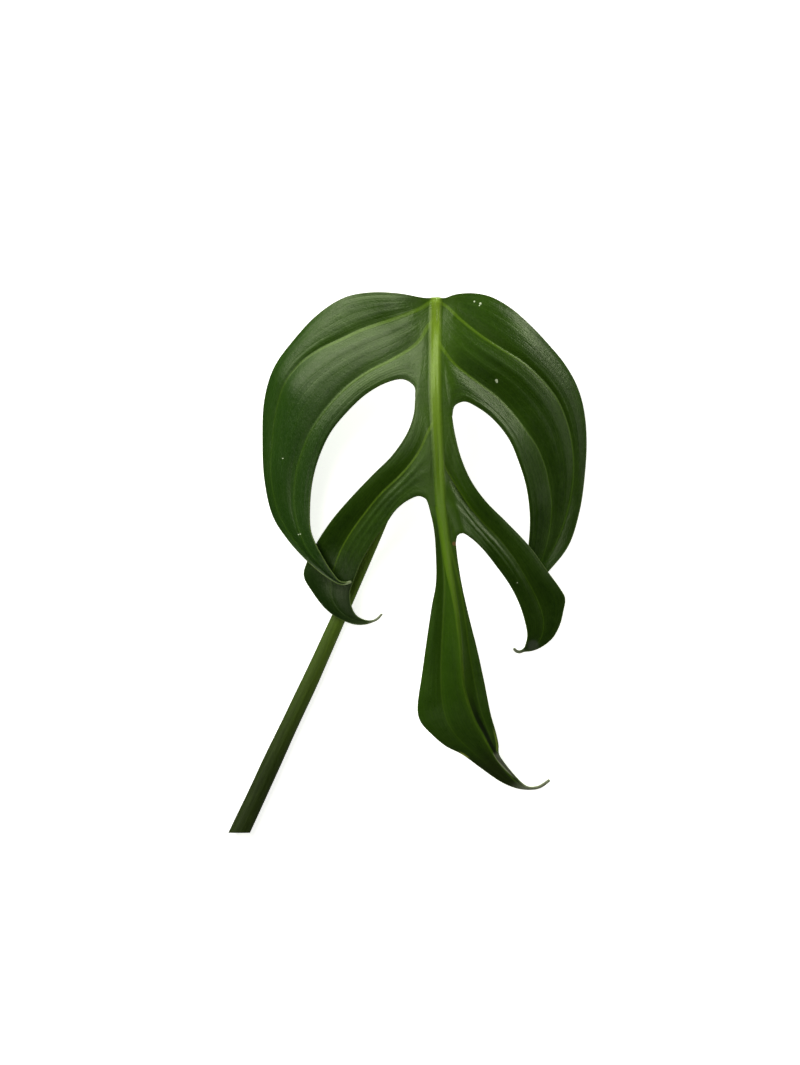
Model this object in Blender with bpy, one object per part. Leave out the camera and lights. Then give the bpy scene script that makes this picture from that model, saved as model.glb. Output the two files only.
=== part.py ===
"""Monstera cutting: one split leaf with five drip-tipped lobes, on its cut stalk, lying on a surface.

The leaf is drawn in millimetres from the joint of blade and stalk: x to the right, y away from the
leaf's tip, z up from the surface. JOINT is that joint's place in the part's own frame, whose origin
lies on the surface under the middle of the whole cutting.
"""
import bpy
import numpy as np

MM = 0.001
JOINT = np.array((9.79, 91.87, 0.0))  # millimetres

BLADE_THICKNESS = 0.6
MIDRIB_KEEL = 2.0
MIDRIB_CREST = 0.3
MIDRIB_HALF_WIDTH = 2.2
MIDRIB_TAPER = 0.75
VEIN_FURROW = 0.5
VEIN_FURROW_REACH = 2.6
VEIN_RIB = 0.3
VEIN_RIB_REACH = 1.0

STALK_SIDES = 14
STALK_RINGS = 44
CUT_LINE = -186.2

# Mesh rows along a lobe: those beside the web at its root come first
WEB_ROWS = 4
WEB_GRADING = 1.4
WEB_SHARE = 0.06
UPPER_ROWS = 26
LOWER_ROWS = 22
TIP_ROWS = 24

# The midrib, from the joint to the end of the end lobe's drip tip
MIDRIB = (
    (0.0, 0.0, 24.5), (-0.2, -14.0, 26.5), (-0.1, -31.5, 29.0), (0.5, -47.2, 28.9), (1.3, -61.2, 27.6),
    (1.9, -71.8, 26.5), (3.3, -84.0, 24.9), (4.5, -92.8, 23.6), (6.3, -101.5, 22.2),
    (7.9, -109.2, 20.6), (8.6, -119.0, 18.3), (9.1, -126.0, 16.6), (10.1, -134.8, 13.7),
    (11.5, -141.0, 11.5), (13.8, -147.0, 9.7), (16.3, -151.5, 8.3), (18.9, -156.4, 6.8),
    (21.5, -160.6, 5.4), (24.3, -164.1, 4.1), (27.5, -167.5, 2.6), (30.0, -169.6, 1.4),
    (32.1, -170.6, 0.8), (34.1, -170.75, 0.6), (36.1, -170.3, 1.0), (37.8, -169.35, 1.8),
    (39.65, -167.9, 2.9),
)

# Places along the midrib where veins and webs run out, each with the mesh columns before it
UPPER_VEIN_1 = 0.8
LEFT_VEIN_2 = 7.0
RIGHT_VEIN_2 = 13.0
UPPER_LEFT_WEB = 35.0
UPPER_RIGHT_WEB = 41.3
RIGHT_LOWER_VEIN = 52.0
LOWER_LEFT_WEB = 72.8
LOWER_RIGHT_WEB = 84.0
MIDRIB_STRETCHES = (
    (UPPER_VEIN_1, 2), (LEFT_VEIN_2, 3), (RIGHT_VEIN_2, 1), (UPPER_LEFT_WEB, 3), (UPPER_RIGHT_WEB, 3),
    (RIGHT_LOWER_VEIN, 2), (LOWER_LEFT_WEB, 3), (LOWER_RIGHT_WEB, 3),
)

# Upper left lobe: a big sickle whose tip crosses over the lower left lobe
UPPER_LEFT_OUTER = (
    (-4.7, 0.5, 26.0), (-12.4, 1.9, 25.6), (-22.2, 2.4, 22.8), (-31.7, 0.7, 18.4), (-41.1, -5.2, 13.3),
    (-49.5, -14.0, 8.6), (-56.5, -23.8, 4.5), (-59.8, -35.0, 1.3), (-60.4, -49.0, 0.3),
    (-59.7, -63.0, 0.3), (-56.9, -75.2, 1.4), (-51.6, -83.6, 5.0), (-45.3, -90.6, 8.4),
    (-39.7, -95.5, 11.2), (-34.1, -99.0, 13.2), (-31.8, -99.4, 13.6), (-29.5, -98.7, 13.6),
)
UPPER_LEFT_VEIN_1 = (
    (-2.3, -1.3, 25.5), (-5.4, -3.2, 25.7), (-12.4, -6.0, 25.3), (-19.4, -8.4, 23.1),
    (-26.4, -10.9, 21.2), (-33.4, -14.2, 18.8), (-40.4, -17.5, 15.9), (-47.4, -22.4, 12.7),
    (-52.5, -29.0, 10.3), (-55.5, -38.5, 7.4), (-56.9, -49.0, 5.6), (-57.4, -61.0, 4.7),
    (-54.8, -74.0, 4.6), (-50.2, -82.6, 6.4), (-44.6, -89.5, 9.0), (-39.0, -94.8, 11.5),
    (-34.0, -98.6, 13.2), (-31.6, -99.1, 13.6), (-29.5, -98.5, 13.6),
)
UPPER_LEFT_VEIN_2 = (
    (-2.6, -9.3, 26.2), (-5.4, -14.0, 26.5), (-8.9, -17.2, 25.9), (-15.9, -21.4, 25.3),
    (-22.9, -24.9, 23.6), (-29.9, -29.8, 21.4), (-36.9, -36.8, 18.8), (-43.2, -45.5, 15.7),
    (-47.0, -54.5, 12.8), (-49.0, -63.0, 10.6), (-49.3, -71.5, 9.5), (-47.8, -79.5, 9.7),
    (-44.8, -86.6, 10.7), (-41.0, -91.6, 12.0), (-37.2, -95.6, 12.9), (-33.8, -98.4, 13.5),
    (-31.5, -98.8, 13.7), (-29.5, -98.3, 13.6),
)
UPPER_LEFT_INNER = (
    (-7.0, -34.3, 28.8), (-7.3, -30.4, 28.0), (-11.0, -27.8, 26.9), (-16.6, -28.7, 25.5),
    (-24.3, -32.9, 23.0), (-31.7, -39.9, 20.5), (-36.9, -46.5, 18.1), (-40.8, -54.9, 15.4),
    (-43.0, -63.0, 13.8), (-43.9, -71.8, 12.8), (-43.6, -80.5, 12.5), (-41.6, -85.8, 13.0),
    (-39.0, -90.6, 13.1), (-36.2, -95.0, 13.4), (-33.6, -98.1, 13.7), (-31.8, -98.6, 13.8),
    (-29.5, -98.1, 13.6),
)

# Upper right lobe: its tip runs under the lower right lobe
UPPER_RIGHT_OUTER = (
    (3.0, 0.3, 24.6), (6.8, 1.6, 24.2), (12.8, 2.1, 23.0), (19.1, 0.9, 22.2), (26.1, -3.0, 20.5),
    (33.1, -9.1, 17.7), (39.4, -15.7, 14.0), (45.0, -22.4, 10.0), (49.2, -29.7, 6.8),
    (51.6, -37.4, 4.2), (52.7, -47.9, 2.0), (52.1, -61.2, 0.7), (50.2, -74.2, 0.3), (46.4, -85.8, 0.3),
    (39.4, -94.8, 0.3), (34.5, -100.1, 0.3), (31.3, -102.9, 0.4), (29.5, -104.7, 0.6),
)
UPPER_RIGHT_VEIN_1 = (
    (3.0, -1.9, 24.4), (8.6, -7.0, 25.0), (15.6, -12.6, 24.6), (22.6, -17.2, 23.2), (29.6, -21.5, 20.7),
    (35.5, -26.6, 17.1), (41.8, -34.0, 12.4), (45.0, -40.5, 9.0), (47.4, -49.0, 5.8),
    (48.2, -59.5, 3.3), (47.0, -70.0, 1.4), (44.0, -80.5, 0.9), (39.4, -90.2, 0.3), (34.6, -98.2, 0.3),
    (31.2, -102.5, 0.4), (29.4, -104.5, 0.6),
)
UPPER_RIGHT_VEIN_2 = (
    (2.6, -17.5, 27.5), (6.8, -22.8, 27.6), (13.8, -28.4, 25.1), (20.8, -33.6, 20.9),
    (26.1, -38.9, 18.2), (31.3, -45.5, 15.4), (35.9, -52.5, 11.2), (39.0, -61.3, 7.0),
    (40.4, -70.0, 4.6), (40.2, -77.7, 2.6), (38.4, -86.8, 1.4), (35.4, -94.8, 0.8), (32.4, -100.3, 0.6),
    (30.8, -102.7, 0.6), (29.3, -104.3, 0.6),
)
UPPER_RIGHT_INNER = (
    (5.6, -40.9, 29.2), (6.5, -37.1, 29.1), (10.0, -35.5, 27.7), (14.5, -37.4, 25.7),
    (20.1, -41.6, 23.1), (25.7, -48.6, 20.2), (29.2, -56.7, 17.0), (31.7, -64.8, 13.3),
    (32.9, -72.8, 9.8), (33.1, -78.8, 7.0), (32.6, -85.8, 4.6), (31.9, -92.8, 2.5), (31.2, -98.7, 1.2),
    (30.3, -102.3, 0.7), (29.1, -104.2, 0.6),
)

# Lower left lobe: it passes over the stalk and under the upper left tip
LOWER_LEFT_OUTER = (
    (-7.0, -34.3, 28.8), (-7.5, -39.9, 29.2), (-9.6, -46.2, 28.7), (-14.9, -54.2, 27.2),
    (-21.9, -61.2, 24.3), (-29.9, -69.6, 20.0), (-35.9, -76.6, 15.7), (-41.1, -84.3, 10.3),
    (-44.6, -91.0, 6.0), (-46.0, -96.2, 4.4), (-43.2, -101.5, 4.4), (-38.3, -107.8, 5.6),
    (-33.4, -111.3, 7.4), (-28.2, -113.2, 8.6), (-24.5, -113.2, 8.9), (-21.8, -112.35, 9.1),
    (-20.1, -111.5, 9.3), (-18.6, -109.8, 9.8),
)
LOWER_LEFT_VEIN = (
    (-2.6, -46.0, 29.5), (-5.4, -52.2, 28.4), (-8.9, -57.4, 26.8), (-12.4, -61.3, 25.1),
    (-19.4, -67.9, 21.7), (-24.3, -73.9, 18.4), (-29.6, -81.2, 14.4), (-33.1, -87.5, 11.4),
    (-35.5, -94.0, 9.6), (-36.6, -99.4, 8.6), (-36.2, -104.4, 8.4), (-33.6, -108.6, 8.5),
    (-29.4, -111.4, 8.8), (-24.6, -112.6, 9.0), (-21.7, -112.15, 9.2), (-20.2, -111.3, 9.4),
    (-18.8, -109.7, 9.8),
)
LOWER_LEFT_INNER = (
    (-2.3, -71.8, 25.8), (-3.3, -69.5, 26.0), (-5.8, -68.4, 25.7), (-9.6, -69.8, 24.3),
    (-13.8, -73.1, 22.1), (-17.3, -78.0, 19.7), (-22.2, -85.0, 16.2), (-26.1, -91.7, 13.2),
    (-28.5, -97.6, 11.2), (-29.9, -101.8, 10.1), (-29.5, -106.8, 9.6), (-27.7, -110.2, 9.2),
    (-24.5, -111.85, 9.1), (-22.0, -111.9, 9.2), (-20.4, -111.05, 9.4), (-19.0, -109.6, 9.8),
)

# Lower right lobe: it crosses over the upper right tip
LOWER_RIGHT_OUTER = (
    (5.6, -40.9, 29.2), (6.5, -46.5, 29.1), (8.6, -54.9, 29.0), (12.1, -63.0, 27.7),
    (17.3, -70.3, 25.2), (24.3, -77.3, 21.2), (32.4, -85.8, 16.2), (39.0, -94.8, 11.3),
    (43.4, -100.8, 8.0), (45.2, -104.2, 6.4), (44.6, -108.5, 5.0), (43.3, -113.6, 4.0),
    (40.8, -118.1, 3.0), (36.6, -121.4, 2.2), (33.3, -122.6, 1.6), (31.1, -122.8, 1.3),
    (29.4, -123.35, 1.2), (27.9, -122.9, 1.5), (27.2, -122.0, 2.2),
)
LOWER_RIGHT_VEIN = (
    (2.6, -57.0, 28.2), (5.8, -62.8, 26.8), (8.9, -67.6, 25.5), (12.4, -72.8, 24.3),
    (16.6, -77.7, 22.6), (21.2, -82.3, 20.8), (26.4, -88.6, 17.7), (29.6, -93.6, 15.1),
    (33.0, -99.6, 12.0), (35.8, -105.4, 8.6), (37.4, -110.2, 6.6), (37.6, -115.0, 5.0),
    (36.4, -118.8, 3.5), (33.9, -121.3, 2.4), (31.0, -122.5, 1.5), (29.3, -123.05, 1.3),
    (28.1, -122.7, 1.5), (27.4, -121.8, 2.2),
)
LOWER_RIGHT_INNER = (
    (6.9, -85.0, 24.9), (7.5, -82.2, 26.1), (9.3, -81.3, 26.4), (12.1, -82.8, 25.1),
    (16.3, -86.6, 22.5), (21.5, -93.1, 17.9), (26.1, -99.6, 13.4), (29.2, -105.7, 10.2),
    (31.3, -112.0, 7.4), (32.2, -117.2, 5.2), (31.6, -120.2, 3.6), (30.9, -121.8, 2.4),
    (29.4, -122.6, 1.6), (28.4, -122.3, 1.7), (27.7, -121.6, 2.2),
)

# End lobe: both halves are ruled from the midrib, and its tip turns to the right
END_LEFT = (
    (-2.3, -71.8, 25.8), (-0.5, -79.8, 25.6), (0.2, -89.2, 23.9), (0.2, -99.0, 21.6),
    (-1.2, -106.8, 19.3), (-3.0, -119.0, 15.4), (-4.7, -131.2, 11.2), (-6.1, -141.0, 7.9),
    (-6.0, -144.8, 6.4), (-4.9, -147.7, 5.8), (-1.2, -151.7, 5.0), (3.7, -155.8, 4.2),
    (9.3, -158.6, 3.7), (15.6, -163.2, 2.7), (22.6, -168.1, 1.4), (26.6, -170.0, 0.7),
    (30.0, -170.9, 0.35), (33.9, -171.05, 0.3), (36.3, -170.6, 0.8), (38.1, -169.6, 1.7),
    (39.9, -168.1, 2.9),
)
END_LEFT_VEIN = (
    (1.6, -82.0, 24.6), (2.8, -91.0, 23.1), (3.2, -99.0, 21.6), (2.8, -110.0, 18.8),
    (2.2, -122.0, 15.2), (2.0, -133.0, 11.9), (2.6, -141.0, 9.4), (4.6, -148.0, 7.8),
    (8.4, -153.4, 6.4), (13.4, -158.0, 5.2), (18.6, -162.4, 4.0), (24.4, -167.2, 2.2),
    (28.6, -169.9, 1.0), (31.7, -170.8, 0.55), (34.0, -170.9, 0.45), (36.2, -170.45, 0.9),
    (37.95, -169.48, 1.75), (39.78, -168.0, 2.9),
)
END_RIGHT = (
    (6.9, -85.0, 24.9), (7.5, -90.3, 24.0), (8.9, -99.0, 22.5), (11.4, -110.2, 20.2),
    (14.5, -122.5, 17.0), (17.0, -134.0, 13.8), (19.1, -144.5, 11.0), (21.2, -151.9, 8.6),
    (21.9, -155.6, 7.6), (21.9, -158.6, 6.8), (24.3, -162.3, 5.2), (27.7, -166.4, 3.4),
    (30.4, -169.2, 2.0), (32.3, -170.35, 1.2), (34.2, -170.5, 0.9), (36.0, -170.05, 1.2),
    (37.65, -169.1, 1.9), (39.5, -167.7, 2.9),
)
END_RIGHT_VEIN = (
    (6.5, -92.0, 24.2), (8.6, -101.0, 22.4), (10.4, -112.0, 19.7), (12.0, -124.0, 16.3),
    (13.8, -134.0, 13.4), (15.8, -143.0, 10.9), (18.4, -150.4, 8.6), (20.4, -156.0, 7.1),
    (21.8, -159.6, 6.0), (24.3, -163.3, 4.5), (27.6, -167.0, 3.0), (30.2, -169.4, 1.7),
    (32.2, -170.48, 1.0), (34.15, -170.62, 0.75), (36.05, -170.17, 1.1), (37.72, -169.22, 1.85),
    (39.58, -167.8, 2.9),
)

# The stalk: its centre line and radius, from the cut to the knee under the joint
STALK = (
    (-68.7, -186.2, 3.2, 3.4), (-62.4, -172.8, 3.1, 3.3), (-56.2, -159.3, 3.0, 3.2),
    (-47.1, -140.0, 2.75, 2.95), (-43.6, -132.6, 2.65, 2.85), (-34.0, -111.3, 2.35, 2.5),
    (-29.8, -102.0, 2.6, 2.4), (-25.8, -92.8, 3.5, 2.35), (-19.8, -78.8, 5.6, 2.35),
    (-13.3, -63.0, 8.2, 2.3), (-7.9, -49.0, 10.6, 2.3), (-3.7, -36.8, 12.6, 2.3),
    (-1.2, -25.0, 14.5, 2.3), (-0.2, -14.5, 16.3, 2.35), (0.0, -7.6, 17.9, 2.45), (0.0, -4.1, 19.6, 2.5),
    (0.0, -2.9, 21.6, 2.4),
)


def smooth_curve(points, shares):
    """Points at shares of the length of the cubic spans that pass smoothly through the given points."""
    points = np.array(points, float)
    gaps = np.sqrt(np.linalg.norm(np.diff(points, axis=0), axis=1))
    knots = np.concatenate(([0.0], np.cumsum(gaps)))
    slopes = np.gradient(points, knots, axis=0)
    fine = np.linspace(0.0, knots[-1], 60 * len(points))
    span = np.clip(np.searchsorted(knots, fine, side="right") - 1, 0, len(gaps) - 1)
    width = gaps[span][:, None]
    t = (fine - knots[span])[:, None] / width
    curve = hermite(points[span], points[span + 1], width * slopes[span], width * slopes[span + 1], t)
    lengths = np.concatenate(([0.0], np.cumsum(np.linalg.norm(np.diff(curve[:, :3], axis=0), axis=1))))
    return np.column_stack([np.interp(shares * lengths[-1], lengths, axis) for axis in curve.T])


def hermite(start, end, leaving, arriving, t):
    """The cubic between two points with a given leaving and arriving slope, at t from 0 to 1."""
    return (
        (2 * t**3 - 3 * t**2 + 1) * start + (t**3 - 2 * t**2 + t) * leaving
        + (3 * t**2 - 2 * t**3) * end + (t**3 - t**2) * arriving
    )


def curve_length(points):
    """The length of the smooth curve through the points."""
    curve = smooth_curve(points, np.linspace(0.0, 1.0, 2000))
    return np.linalg.norm(np.diff(curve[:, :3], axis=0), axis=1).sum()


def eased(count):
    """Shares from 0 to 1 in count steps, closer together at both ends."""
    even = np.linspace(0.0, 1.0, count + 1)
    return 0.5 * even + 0.5 * even**2 * (3 - 2 * even)


MIDRIB_LENGTH = curve_length(MIDRIB)
WEB_SHARES = np.linspace(0.0, 1.0, WEB_ROWS + 1) ** WEB_GRADING


def midrib_stations():
    """Distances along the midrib of every mesh column, and then of every row of the end lobe."""
    stations = [0.0]
    for end, count in MIDRIB_STRETCHES:
        start = stations[-1]
        stations += [start + (end - start) * (step + 1) / count for step in range(count)]
    rest = stations[-1] + (MIDRIB_LENGTH - stations[-1]) * eased(TIP_ROWS)[1:]
    return np.array(stations + list(rest))


STATIONS = midrib_stations()


def stations_between(start, end):
    """The midrib stations from one place on it to another."""
    return STATIONS[(STATIONS > start - 1e-6) & (STATIONS < end + 1e-6)]


def on_midrib(distances):
    """Points of the midrib at distances along it."""
    return smooth_curve(MIDRIB, np.atleast_1d(distances) / MIDRIB_LENGTH)


def web_edge(root, corner):
    """Points from a place on the midrib out to the corner of the web between two lobes."""
    start = on_midrib(root)[0]
    return start + WEB_SHARES[:, None] * (np.array(corner) - start)


def lobe_rail(points, root, webbed, rows):
    """One line along a lobe, from the midrib to the tip: a vein, or a margin that may start as a web edge."""
    if webbed:
        return np.vstack((web_edge(root, points[0]), smooth_curve(points, eased(rows))[1:]))
    shares = np.concatenate((WEB_SHARES * WEB_SHARE, WEB_SHARE + (1 - WEB_SHARE) * eased(rows)[1:]))
    return smooth_curve((tuple(on_midrib(root)[0]), *points), shares)


def loft(rails, marks, columns, base):
    """A grid of points through lines that run along a lobe.

    Each row crosses the rails as a smooth curve. The rails start at marks on the base line and the
    columns at their own places on it, and the first rows are drawn onto that base line.
    """
    rails, marks = np.array(rails), np.array(marks)
    gaps = np.linalg.norm(np.diff(rails, axis=0), axis=2)[:, :, None]
    steps = np.diff(rails, axis=0) / gaps.clip(1e-9)
    inner = (gaps[:-1] * steps[1:] + gaps[1:] * steps[:-1]) / (gaps[:-1] + gaps[1:]).clip(1e-9)
    slopes = np.concatenate((1.5 * steps[:1] - 0.5 * inner[:1], inner, 1.5 * steps[-1:] - 0.5 * inner[-1:]))
    span = np.clip(np.searchsorted(marks, columns + 1e-9, side="right") - 1, 0, len(rails) - 2)
    t = ((columns - marks[span]) / (marks[span + 1] - marks[span]))[:, None, None]
    grid = hermite(
        rails[span], rails[span + 1], gaps[span] * slopes[span], gaps[span] * slopes[span + 1], t
    ).transpose(1, 0, 2)
    fade = np.linspace(1.0, 0.0, len(grid))[:, None, None] ** 6
    return grid + fade * (base - grid[0])


def relief(grid, from_midrib, stations, veins, flat_rows):
    """A grid lowered in furrows along its veins, with its thickness above and below the middle layer.

    The midrib is a low crest above and a keel below that fade from the joint to the tip. Each vein
    is a soft furrow above and a fine rib below, from the first row past flat_rows to the tip.
    """
    size = 1 - MIDRIB_TAPER * stations / MIDRIB_LENGTH
    midrib = np.exp(-((from_midrib / (MIDRIB_HALF_WIDTH * size)) ** 2))
    row = np.arange(len(grid))
    rise = np.sqrt(np.sin(np.pi * ((row - flat_rows) / (len(grid) - 1 - flat_rows)).clip(0, 1)).clip(0))
    furrow, rib = np.zeros(grid.shape[:2]), np.zeros(grid.shape[:2])
    for vein in veins:
        away = np.linalg.norm((grid - vein[:, None, :])[:, :, :2], axis=2)
        furrow += np.exp(-((away / VEIN_FURROW_REACH) ** 2)) * rise[:, None] * (1 - midrib)
        rib += np.exp(-((away / VEIN_RIB_REACH) ** 2)) * rise[:, None] * (1 - midrib)
    lowered = grid - VEIN_FURROW * furrow[:, :, None] * np.array((0.0, 0.0, 1.0))
    above = 0.5 * BLADE_THICKNESS + MIDRIB_CREST * size * midrib
    below = 0.5 * BLADE_THICKNESS + MIDRIB_KEEL * size * midrib + VEIN_RIB * rib
    return lowered, above, below


def side_lobe(rails, roots, webbed, rows):
    """An upper or lower lobe, from its stretch of the midrib out to its tip."""
    lines = [lobe_rail(*rail, rows) for rail in zip(rails, roots, webbed)]
    columns = stations_between(roots[0], roots[-1])
    grid = loft(lines, roots, columns, on_midrib(columns))
    steps = np.linalg.norm(np.diff(grid, axis=0), axis=2)
    from_midrib = np.vstack((np.zeros(len(columns)), np.cumsum(steps, axis=0)))
    return relief(grid, from_midrib, columns[None, :], lines[1:-1], WEB_ROWS)


def end_half(margin, vein, root):
    """One half of the end lobe, between its margin and the midrib."""
    base = web_edge(root, margin[0])[::-1]
    vein_start = WEB_ROWS // 2
    stations = stations_between(root, MIDRIB_LENGTH)
    shares = (stations - root) / (MIDRIB_LENGTH - root)
    lines = [
        smooth_curve(margin, shares),
        smooth_curve((tuple(base[vein_start]), *vein), shares),
        on_midrib(stations),
    ]
    columns = 1 - WEB_SHARES[::-1]
    grid = loft(lines, (0.0, columns[vein_start], 1.0), columns, base)
    from_midrib = np.linalg.norm(grid - grid[:, -1:], axis=2)
    return relief(grid, from_midrib, stations[:, None], lines[1:-1], 0)


def grid_triangles(rows, columns, turned):
    """Two triangles for each cell of a grid, facing up; turned is for a grid that runs the other way."""
    index = np.arange(rows * columns).reshape(rows, columns)
    a, b, c, d = index[:-1, :-1], index[1:, :-1], index[1:, 1:], index[:-1, 1:]
    faces = np.stack((np.stack((a, b, c), -1), np.stack((a, c, d), -1)), 2).reshape(-1, 3)
    return faces[:, ::-1] if turned else faces


def blade():
    """The whole blade as one closed shell: points and triangles."""
    upper = ((UPPER_VEIN_1, LEFT_VEIN_2, UPPER_LEFT_WEB), (UPPER_VEIN_1, RIGHT_VEIN_2, UPPER_RIGHT_WEB))
    left_rails = (UPPER_LEFT_OUTER, UPPER_LEFT_VEIN_1, UPPER_LEFT_VEIN_2, UPPER_LEFT_INNER)
    right_rails = (UPPER_RIGHT_OUTER, UPPER_RIGHT_VEIN_1, UPPER_RIGHT_VEIN_2, UPPER_RIGHT_INNER)
    upper_webs = (False, False, False, True)
    lower_webs = (True, False, True)
    lobes = (
        (side_lobe(left_rails, (0.0, *upper[0]), upper_webs, UPPER_ROWS), False),
        (side_lobe(right_rails, (0.0, *upper[1]), upper_webs, UPPER_ROWS), True),
        (side_lobe((LOWER_LEFT_OUTER, LOWER_LEFT_VEIN, LOWER_LEFT_INNER),
                   (UPPER_LEFT_WEB, UPPER_RIGHT_WEB, LOWER_LEFT_WEB), lower_webs, LOWER_ROWS), False),
        (side_lobe((LOWER_RIGHT_OUTER, LOWER_RIGHT_VEIN, LOWER_RIGHT_INNER),
                   (UPPER_RIGHT_WEB, RIGHT_LOWER_VEIN, LOWER_RIGHT_WEB), lower_webs, LOWER_ROWS), True),
        (end_half(END_LEFT, END_LEFT_VEIN, LOWER_LEFT_WEB), False),
        (end_half(END_RIGHT, END_RIGHT_VEIN, LOWER_RIGHT_WEB), True),
    )
    return shell(lobes)


def shell(lobes):
    """The lobes joined along the midrib and the webs, then given their thickness and edge."""
    points = np.concatenate([grid.reshape(-1, 3) for (grid, _, _), _ in lobes])
    above = np.concatenate([layer.ravel() for (_, layer, _), _ in lobes])
    below = np.concatenate([layer.ravel() for (_, _, layer), _ in lobes])
    starts = np.cumsum([0] + [grid.shape[0] * grid.shape[1] for (grid, _, _), _ in lobes])
    faces = np.concatenate([
        start + grid_triangles(*lobe[0].shape[:2], turned)
        for start, (lobe, turned) in zip(starts, lobes)
    ])
    _, first, joined = np.unique(np.round(points, 4), axis=0, return_index=True, return_inverse=True)
    points, above, below, faces = points[first], above[first], below[first], joined.ravel()[faces]
    corners = points[faces]
    face_normals = np.cross(corners[:, 1] - corners[:, 0], corners[:, 2] - corners[:, 0])
    normals = np.zeros_like(points)
    for corner in range(3):
        np.add.at(normals, faces[:, corner], face_normals)
    normals /= np.linalg.norm(normals, axis=1)[:, None]
    top = points + normals * above[:, None]
    bottom = points - normals * below[:, None]
    top[:, 2] = top[:, 2].clip(BLADE_THICKNESS)
    bottom[:, 2] = bottom[:, 2].clip(0.0)
    edges = np.concatenate((faces[:, (0, 1)], faces[:, (1, 2)], faces[:, (2, 0)]))
    _, index, uses = np.unique(np.sort(edges, axis=1), axis=0, return_inverse=True, return_counts=True)
    a, b = edges[uses[index.ravel()] == 1].T
    count = len(points)
    rim = np.concatenate((np.stack((b, a, a + count), 1), np.stack((b, a + count, b + count), 1)))
    return np.concatenate((top, bottom)), np.concatenate((faces, faces[:, ::-1] + count, rim))


def stalk():
    """The stalk as a tube of rings along its centre line, flat where it rests, cut square to the page."""
    line = smooth_curve(STALK, eased(STALK_RINGS))
    centres, radii = line[:, :3], line[:, 3]
    tangents = np.gradient(centres, axis=0)
    tangents /= np.linalg.norm(tangents, axis=1)[:, None]
    side = np.array((1.0, 0.0, 0.0)) - tangents * tangents[:, :1]
    side /= np.linalg.norm(side, axis=1)[:, None]
    up = np.cross(side, tangents)
    angles = 2 * np.pi * np.arange(STALK_SIDES) / STALK_SIDES
    across = radii[:, None, None] * (
        np.cos(angles)[None, :, None] * side[:, None, :] + np.sin(angles)[None, :, None] * up[:, None, :]
    )
    rings = centres[:, None, :] + across
    slide = (CUT_LINE - rings[0, :, 1]) / tangents[0, 1]
    rings[0] += slide[:, None] * tangents[0]
    rings[:, :, 2] = rings[:, :, 2].clip(0.0)
    index = np.arange(rings[:, :, 0].size).reshape(rings.shape[:2])
    turned = np.roll(index, -1, axis=1)
    walls = np.stack((index[:-1], index[1:], turned[1:], turned[:-1]), -1).reshape(-1, 4)
    return rings.reshape(-1, 3), walls.tolist() + [index[0].tolist(), index[-1, ::-1].tolist()]


def finish(name, colour, roughness):
    """A plain material."""
    material = bpy.data.materials.new(name)
    material.use_nodes = True
    shader = material.node_tree.nodes["Principled BSDF"]
    shader.inputs["Base Color"].default_value = (*colour, 1.0)
    shader.inputs["Roughness"].default_value = roughness
    shader.inputs["Metallic"].default_value = 0.0
    return material


def add_piece(name, points, faces, material):
    """One solid of the cutting, placed in the part's frame."""
    mesh = bpy.data.meshes.new(name)
    mesh.from_pydata(((points + JOINT) * MM).tolist(), [], faces)
    mesh.update()
    mesh.shade_smooth()
    mesh.set_sharp_from_angle(angle=np.radians(50))
    mesh.materials.append(material)
    piece = bpy.data.objects.new(name, mesh)
    bpy.context.scene.collection.objects.link(piece)
    return piece


def main():
    for old in list(bpy.data.objects):
        bpy.data.objects.remove(old, do_unlink=True)
    points, faces = blade()
    add_piece("leaf_blade", points, faces.tolist(), finish("leaf green", (0.035, 0.085, 0.016), 0.38))
    points, faces = stalk()
    add_piece("leaf_stalk", points, faces, finish("stalk green", (0.052, 0.105, 0.018), 0.45))


main()
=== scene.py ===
"""The monstera cutting, dressed: one split leaf on its cut stalk, lying arched on a pale floor.

Shapes are worked out in millimetres in the leaf's own frame, as in the part's source: x to the right,
y away from the leaf's tip, z up from the surface. JOINT is the joint of blade and stalk in the part's
frame, whose origin lies on the surface under the middle of the cutting.
"""

import bpy
import numpy as np
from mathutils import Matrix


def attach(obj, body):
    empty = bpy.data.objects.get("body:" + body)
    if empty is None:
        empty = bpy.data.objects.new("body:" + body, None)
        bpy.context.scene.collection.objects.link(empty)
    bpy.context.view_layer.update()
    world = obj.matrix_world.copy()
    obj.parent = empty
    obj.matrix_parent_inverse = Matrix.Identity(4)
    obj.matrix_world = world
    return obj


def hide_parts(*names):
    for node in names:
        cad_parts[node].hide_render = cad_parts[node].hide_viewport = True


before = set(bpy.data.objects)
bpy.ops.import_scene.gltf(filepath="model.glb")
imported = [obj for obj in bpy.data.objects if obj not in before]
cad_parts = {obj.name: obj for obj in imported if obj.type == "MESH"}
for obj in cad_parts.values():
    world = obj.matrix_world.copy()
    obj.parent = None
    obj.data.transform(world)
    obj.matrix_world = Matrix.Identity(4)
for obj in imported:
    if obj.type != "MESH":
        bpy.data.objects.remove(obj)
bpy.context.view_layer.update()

MM = 0.001
JOINT = np.array((9.79, 91.87, 0.0))
UP = np.array((0.0, 0.0, 1.0))

# The picture's frame in pixels, the size of a pixel in mm, and the joint's place in the frame
PICTURE_COLUMNS = 800
PICTURE_ROWS = 1065
PIXEL = 0.35
JOINT_COLUMN = 435.5
JOINT_ROW = 300.0

# The camera: height and reach in metres, sensor and shift up the picture in mm
CAMERA_HEIGHT = 5.0
CAMERA_REACH = 50.0
CAMERA_SHIFT = 0.2
SENSOR_HEIGHT = 36.0

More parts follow.
